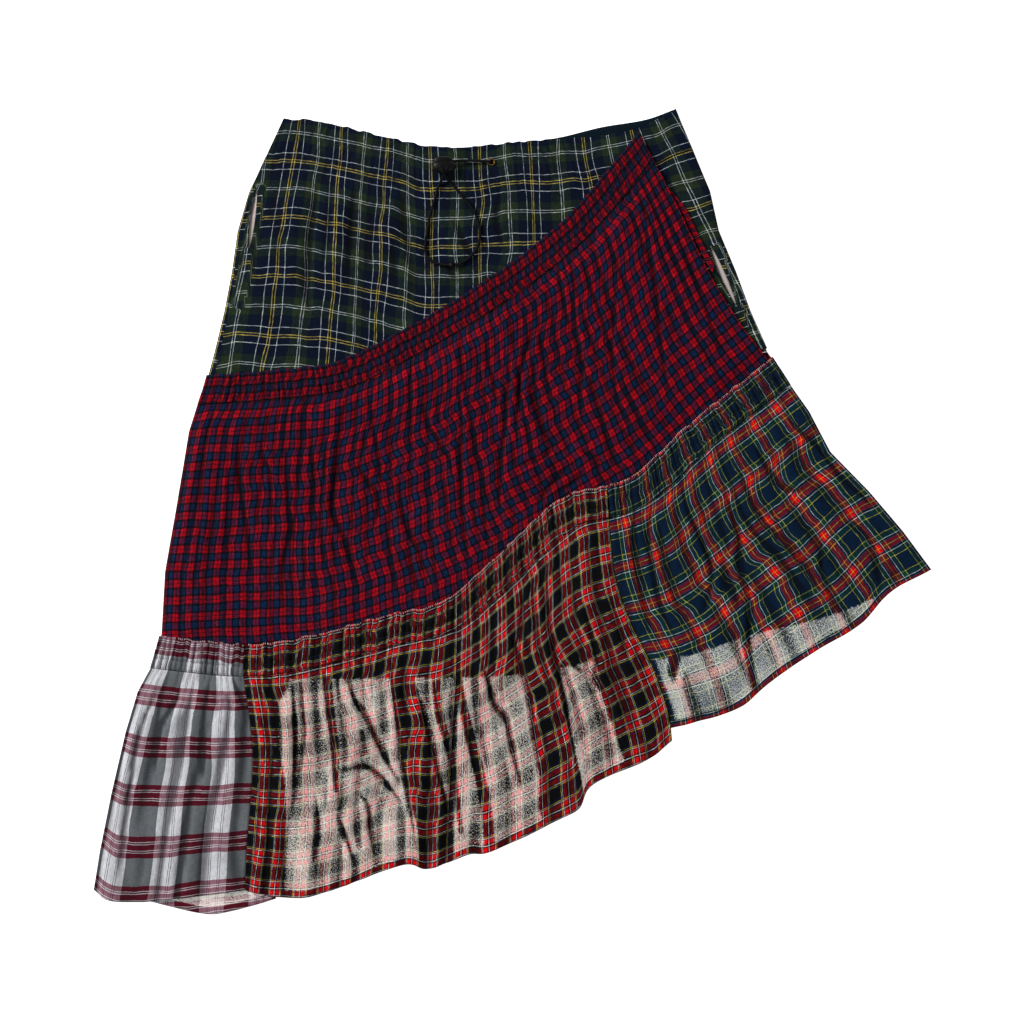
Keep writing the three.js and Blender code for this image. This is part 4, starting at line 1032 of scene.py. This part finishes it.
def waist_hole(points, quads):
    """The waist's grid with its points drawn back from the two eyelet holes."""
    points = points.copy()
    middle = points[quads].mean(axis=1)
    kept = np.ones(len(quads), bool)
    for centre in EYELETS.values():
        d = points[:, :2] - np.array(centre)
        r = np.maximum(np.linalg.norm(d, axis=1), 1e-6)
        kept &= np.linalg.norm(middle[:, :2] - np.array(centre), axis=1) > 1.2
        pull = r < 4.4
        points[pull, :2] += (d / r[:, None] * np.maximum(1.9 - 0.44 * r, 0)[:, None])[pull]
    return points, kept


waist = Ply("waist_casing_front", "yoke", (WAIST_FRONT, WAIST_SEAM, side(LEFT_SIDE, 392.5, 354),
    side(RIGHT_SIDE, 401, 363)), 340, 26, waist_height, 0, thickness=1.0, weave=yoke_weave, hole=waist_hole,
    ripple=1.1, on=["waist_casing_back"])


def yoke_height(x, y, u, v):
    clear = smooth((y - TIER2_TOP.y(x) - 8) / 30)
    t = (350 - y) / 200
    soft = np.zeros(x.shape)
    for top, bottom, high, spread, first, until in YOKE_DRAPES:
        off = np.clip((x - top - (bottom - top) * t) / spread, -1, 1)
        soft += high * smooth((first - y) / 45) * smooth((y - until) / 55) * np.cos(off * math.pi / 2) ** 2
    near_side = smooth(u / 0.07) * smooth((1 - u) / 0.07)
    waist_puckers = 1.2 * gathered(u, v, 46, 22) * np.exp(-v / 0.10)
    swell = 0.9 + 0.8 * noise(x / 24, y / 60, 23) + 0.4 * noise(x / 11, y / 28, 24)
    relief = soft * near_side + waist_puckers + (swell + creased(x, y, YOKE_CREASES)) * near_side
    z = yoke_base(x, y) + 0.6 * (1 - smooth(v / 0.09)) + np.maximum(relief, 0) * clear
    return z - side_drop(u, 500)


def slit_hole(points, quads):
    """The yoke's grid with two pocket mouths opened in it."""
    points = points.copy()
    kept = np.ones(len(quads), bool)
    for a, b, width in SLITS.values():
        a, b = np.array(a, float), np.array(b, float)
        e = b - a
        n = np.array([-e[1], e[0]]) / np.linalg.norm(e)
        t, d = ((points[:, :2] - a) @ e) / (e @ e), (points[:, :2] - a) @ n
        one_side = np.where(d >= 0, 1, -1)
        lip = width / 2 * np.sin(math.pi * np.clip(t, 0, 1)) ** 0.7
        near_lip = (np.abs(d) < 12) & (t > 0) & (t < 1)
        label = np.where(near_lip, one_side, 0)[quads]
        kept &= ~((label.max(axis=1) == 1) & (label.min(axis=1) == -1))
        drawn = lip + np.maximum(np.abs(d) - 2.2, 0) * (12 - lip) / 9.8
        aside = np.where(near_lip, drawn * one_side - d, 0)
        points[:, :2] += n * aside[:, None]
    return points, kept


SEAM_LAP = 0.4  # how far the yoke reaches into the waist's seam
Ply("yoke_front", "yoke", (moved(WAIST_SEAM, 0, SEAM_LAP), YOKE_HEM, side(LEFT_SIDE, 354, 81.5),
    side(RIGHT_SIDE, 363, 163)), 200, 114, yoke_height, 0, weave=yoke_weave, hole=slit_hole, held="laid",
    on=["yoke_back", "pocket_bag_left", "pocket_bag_right"])

SEAM_START = (float(level(LEFT_SIDE, 106.5)), 106.5)
AT_SIDE = 0.14
TIER2_SEAM = joined(beside(TIER2_TOP, TIER2_CASING_DEPTH), SEAM_START, TIER2_SIDE(AT_SIDE))
LAPPED = joined(beside(TIER3_TOP, TIER3_LAP), TIER3_TOP(0.0) + np.array([0, -TIER3_LAP]),
    TIER3_TOP(1.0) + np.array([-3, -4.5]))
TIER2_RUN = 800.0
TIER2_GATHERS = 84


def channels(v, count):
    """Rows of stitching that hold a header down."""
    return 0.35 + 0.65 * np.abs(np.sin(math.pi * v * count)) ** 0.5


def tier2_casing_height(x, y, u, v):
    pucker = 3.0 * gathered(u, v * 0.4, TIER2_GATHERS, 31) * channels(v, 2)
    return tier2_base(x, y) + pucker - side_drop(u, 560) * (u < 0.5)


tier2_casing = Ply("tier2_casing_front", "tier2", (TIER2_TOP, TIER2_SEAM, side(LEFT_SIDE, 135.5, 106.5),
    stretch(TIER2_SIDE, 0, AT_SIDE)), 560, 20, tier2_casing_height, TIER2_RUN, thickness=0.9, steepness=1.0,
    wobble=0.6, ripple=1.0, shade=0.3, on=["yoke_front"])


def tier2_height(x, y, u, v):
    base = tier2_base(x, y)
    head = 1.7 * gathered(u, v * 0.4, TIER2_GATHERS, 31) * np.exp(-v / 0.06)
    short = 2.6 * gathered(u, v, 50, 32) * smooth(v / 0.06) * np.exp(-v / 0.36)
    long = 2.9 * gathered(u, v, 32, 33) * smooth(v / 0.10) * (1 - 0.45 * v)
    swell = 1.3 + 1.0 * noise(u * 17, v * 2.6, 34)
    relief = head + short + long + swell * smooth(v / 0.1) + 0.75 * creased(x, y, TIER2_CREASES)
    flat_low = 1 - 0.8 * smooth((v - 0.90) / 0.08)
    return base + np.maximum(relief, 0.0) * flat_low * smooth(u * 40 + 0.2) - side_drop(u, 640) * (u < 0.5)


def tier2_thin(x, y, u, v):
    open_cloth = smooth((YOKE_HEM.y(x) - y - 2) / 6)
    strips = 0.30 + 0.20 * noise(x / 9, y / 60, 36)
    return open_cloth * strips * (1 - 0.6 * smooth((x + 40) / 80)) * (1 - valley(x, y, TIER2_CREASES))


hem_line = stretch(TIER2_SIDE, 0.24, 0.62)
hem_inner = moved(hem_line, SEAM_GAP, 0)


def hem_outer(u):
    """The turned hem shows as a strip that tapers at its two ends."""
    width = 5.2 * smooth(np.asarray(u, float) / 0.3) * smooth((1 - np.asarray(u, float)) / 0.06) + 0.4
    return hem_inner(u) + width[..., None] * np.array([1, 0.2])


side_hem = Ply("tier2_side_hem", "tier2", (hem_outer, hem_inner, straight(hem_outer(0.0), hem_inner(0.0)),
    straight(hem_outer(1.0), hem_inner(1.0))), 90, 4, lambda x, y, u,
    v: tier2_base(x, y) + 0.3 * np.sin(math.pi * v), 190, thickness=0.8, start=(3, 5), held="")

Ply("tier2_front", "tier2", (moved(TIER2_SEAM, 0, -SEAM_GAP), LAPPED, side(LEFT_SIDE, 106.5, LAPPED(0.0)[1]),
    stretch(TIER2_SIDE, AT_SIDE, 1)), 390, 98, tier2_height, TIER2_RUN, thin=tier2_thin,
    start=(0, TIER2_CASING_DEPTH), on=["yoke_front", "tier2_back"], carries=[side_hem.obj])

# The last tier's panels: length and width of the cloth, puckers, creases, waves and how strong these are
CUTS = {
    "grey": (224.0, 152.0, 17, GREY_CREASES, 5, 0.6),
    "black_a": (217.0, 285.0, 32, BLACK_A_CREASES, 9, 1.0),
    "black_b": (217.0, 270.0, 30, BLACK_B_CREASES, 8, 1.0),
    "green": (215.0, 352.0, 34, GREEN_CREASES, 9, 0.9),
}


def doubled(x, y, strips):
    """1 inside the strips where two plies lie together."""
    most = np.zeros(x.shape)
    for rows in strips:
        line = catmull([(*plan([r[:2]])[0], r[2]) for r in rows], 6)
        d, t = near(x, y, line, 60)
        share = lengths(line[:, :2])
        half = np.interp(t, share / share[-1], line[:, 2])
        most = np.maximum(most, smooth((half - np.abs(d)) / 2.2 + 0.5))
    return most


def single(lines, strips, span):
    """Light comes through the last tier where it is a single ply with nothing behind it."""
    def thin(x, y, u, v):
        past = GREEN_HEM_BACK.y(x) - y
        open_cloth = smooth((past - 0.5) / 1.2) * smooth((x - BACK_SPLIT) / 4)
        clear = (1 - doubled(x, y, strips)) * (1 - 0.85 * valley(x, y, lines))
        clear *= smooth((np.minimum(u, 1 - u) * span - 1.5) / 2)
        return open_cloth * clear * (0.82 + 0.15 * noise(x / 14, y / 24, 72))

    return thin


plies = {}
last_share = (0.0, 0.0)
left_seam = side(LEFT_SIDE, -156.5, -378)
for index, (name, until_x, seam, hem) in enumerate(PANELS):
    first, last = index == 0, seam is None
    until = (1.0, 1.0) if last else (TIER3_TOP.share(until_x), TIER3_SEAM.share(seam[0][0]))
    top = stretch(TIER3_TOP, last_share[0], until[0])
    bottom = stretch(TIER3_SEAM, last_share[1], until[1])
    kind = name.split("_")[0]
    long, run, count, lines, waves, depth = CUTS[name]
    span = (until[0] - last_share[0]) * TIER3_TOP.length

    def casing_height(x, y, u, v, count=count, seed=40 + index, first=first, last=last, span=span):
        drop = side_drop(u, span) * own_side(u, first, last)
        return tier3_casing_base(x, y) + 4.0 * gathered(u, v * 0.5, count, seed) * channels(v, 3) - drop

    plies[f"casing_{name}"] = Ply(f"tier3_casing_{name}_front", kind, (top, bottom,
        straight(top(0.0), bottom(0.0)), straight(top(1.0), bottom(1.0))), int(span), 22, casing_height, run,
        thickness=0.9, steepness=1.0, wobble=0.7, ripple=1.4, shade=0.1 if kind == "grey" else 0.35,
        on=["tier2_front"])
    right_seam = side(RIGHT_SIDE, 126, -58) if last else Line(seam)

    def panel_height(x, y, u, v, count=count, seed=50 + index, first=first, last=last, span=span, waves=waves,
            depth=depth, lines=lines):
        base = tier3_base(x, y, v)
        head = 1.6 * gathered(u, v * 0.5, count, seed - 10) * np.exp(-v / 0.07)
        short = 2.4 * depth * gathered(u, v, count * 0.6, seed) * smooth(v / 0.06) * np.exp(-v / 0.35)
        phase = u * waves + 0.5 * noise(u * waves * 0.6, v * 1.5, seed + 5)
        wave = 3.6 * depth * (0.5 - 0.5 * np.cos(2 * math.pi * phase)) * smooth(v / 0.25) * (0.75 + 0.35 *
            noise(phase, v * 2, seed + 6))
        small = 1.2 * depth * noise(u * waves * 2.6, v * 3.5, seed + 8) * smooth(v / 0.2)
        relief = 0.8 + head + short + wave + small + 1.25 * creased(x, y, lines)
        at_seams = 0.35 + 0.65 * smooth(u * span / 10) * smooth((1 - u) * span / 10)
        drop = side_drop(u, span * 1.2) * own_side(u, first, last)
        return base + np.maximum(relief, 0.0) * at_seams - drop * smooth(v * 20)

    plies[name] = Ply(f"tier3_{name}_front", kind, (moved(bottom, 0, -SEAM_GAP), Line(hem), left_seam,
        right_seam), int(span * 0.72), 104, panel_height, run, thin=None if kind == "grey" else
        single(lines, FLAP if name == "green" else DOUBLED, span), hem=HEM_SHARE,
        start=(0, TIER3_CASING_DEPTH), deep=long, on=["tier3_grey_back" if kind == "grey" else
        "tier3_green_back"])
    last_share = until
    left_seam = right_seam
    if name == "black_b":
        meeting = float(np.interp(216.5, -right_seam.p[:, 1], right_seam.s / right_seam.length))
        left_seam = stretch(right_seam, 0, meeting)
        PANELS[index + 1][3][0] = tuple(right_seam(meeting))

# Back plies, face down on the floor

BACK_LEVELS = {"waist": ((390.5, 353), (402.5, 363)), "yoke": ((353, 134), (363, 160)),
    "casing2": ((134, 105), (160, 136)), "tier2": ((105, -126), (136, 127)),
    "casing3": ((-126.5, -156.5), (126, 99))}
back_waist_seam = dense(to_sides(beside(WAIST_BACK, WAIST_DEPTH), 353, 363))
back_casing2 = dense(to_sides(beside(TIER2_TOP_BACK, TIER2_CASING_DEPTH), 105, 136))
back_casing3 = dense(to_sides(beside(TIER3_TOP_BACK, TIER3_CASING_DEPTH), -156.5, 99))


def back_height(count, seed, amount, row_count=0):
    def height(x, y, u, v):
        rows = channels(v, row_count) if row_count else 1
        return 0.05 + amount * gathered(u, v * (0.4 if row_count else 1), count,
            seed) * rows + 0.3 * side_drop(u, 500)

    return height


def below(line):
    return moved(line, 0, -SEAM_GAP)


BACK_BANDS = [
    ("waist_casing_back", "facing", WAIST_BACK, back_waist_seam, "waist", 200, 12, (50, 61, 0.6, 1), 580,
        1.2),
    ("yoke_back", "yoke", below(back_waist_seam), TIER2_TOP_BACK, "yoke", 120, 50, (30, 62, 0.6, 0), 580,
        SHEER_PLY),
    ("tier2_casing_back", "tier2", below(TIER2_TOP_BACK), back_casing2, "casing2", 280, 10,
        (TIER2_GATHERS, 63, 0.6, 2), 800, 0.6),
    ("tier2_back", "tier2", below(back_casing2), TIER3_TOP_BACK, "tier2", 180, 50, (44, 64, 0.6, 0), 800,
        SHEER_PLY),
    ("tier3_casing_back", "green", below(TIER3_TOP_BACK), back_casing3, "casing3", 290, 10, (90, 65, 0.6, 3),
        950, 0.6),
]
depth_so_far = 0.0
for name, cloth, top, bottom, levels, columns, rows, shape, run, thick in BACK_BANDS:
    left, right = BACK_LEVELS[levels]
    Ply(name, cloth, (top, bottom, side(LEFT_SIDE, *left), side(RIGHT_SIDE, *right)), columns, rows,
        back_height(*shape), run, thickness=thick, start=(0, depth_so_far), steepness=1.0,
        thin=(lambda x, y, u, v: 0.3 + 0 * x) if name == "tier2_back" else None)
    depth_so_far = {"waist_casing_back": WAIST_DEPTH, "tier2_casing_back": TIER2_CASING_DEPTH}.get(name, 0.0)
split = back_casing3.share(BACK_SPLIT)
grey_top, green_top = below(stretch(back_casing3, 0, split)), below(stretch(back_casing3, split, 1))
Ply("tier3_grey_back", "grey", (grey_top, GREY_HEM_BACK, side(LEFT_SIDE, -157, -374),
    straight(grey_top(1.0), GREY_HEM_BACK(1.0))), 90, 60, back_height(14, 66, 0.6), 190, hem=HEM / 240,
    start=(0, -5), thin=lambda x, y, u, v: 0.9 * smooth((-365 - y) / 6))
Ply("tier3_green_back", "green", (green_top, GREEN_HEM_BACK, straight(green_top(0.0), GREEN_HEM_BACK(0.0)),
    side(RIGHT_SIDE, 99, -61)), 220, 46, back_height(30, 67, 0.6), 800, hem=HEM / 150, start=(0, 32))

for each, (bx, by, hw, hh, lean) in BAGS.items():
    def bag_edge(points, bx=bx, by=by, lean=lean):
        c, s = math.cos(math.radians(lean)), math.sin(math.radians(lean))
        return [(bx + px * c - py * s, by + px * s + py * c) for px, py in points]

    tl, tr, bl, br = bag_edge([(-hw, hh), (hw, hh), (-hw, -hh), (hw, -hh)])
    Ply(f"pocket_bag_{each}", "lining", (straight(tl, tr), straight(bl, br), straight(tl, bl),
        straight(tr, br)), 20, 32, lambda x, y, u, v: ON_BACK + 0.1 + 0.15 * noise(x / 12, y / 20, 71), 90,
        thickness=0.5, held="laid", on=["yoke_back"])

# Sewing

grey_rows = [row_of(plies["casing_grey"], v, 0.01, 0.99, 3.0) for v in (0.66, 0.93)]
dark_rows = [row_of(tier2_casing, v, 0.005, 0.995, 3.0) for v in (0.5, 0.97)]
dark_rows += [row_of(plies[f"casing_{n}"], v, 0.01, 0.99, 3.0) for n in list(CUTS)[1:]
    for v in (0.33, 0.66, 0.95)]
dark_rows += [row_of(waist, v, 0.01, 0.99, 3.2) for v in (0.5, 0.96)]
dark_rows += [row_of(plies[n], 1 - HEM_SHARE + 0.006, 0.01, 0.99, 3.0) for n in CUTS]
threads("gathering_stitches", *joined_rows(grey_rows + dark_rows), 0.22, "thread_dark", "yoke")


def overlock(ply, u0, u1, pitch, reach, seed):
    """Slanting loops over a cut edge."""
    rng = np.random.default_rng(seed)
    t = spaced(ply, 0.0, u0, u1, pitch, 0.5, 0.15, rng)
    n = len(t)
    half = 0.45 * (u1 - u0) / n
    keep = rng.uniform(0, 1, n) > 0.18
    a, b = ply.at(t, np.full(n, 0.005), 0.08)[keep], ply.at(t + half, np.full(n, reach), 0.08)[keep]
    a[:, 1] += 0.5
    return a, b


loops = [overlock(plies[f"casing_{n}"], 0.0, 1.0, 1.9, 0.055, 81 + i) for i, n in enumerate(CUTS)]
threads("overlock_threads", *joined_rows(loops), 0.3, "thread_pale", "grey")
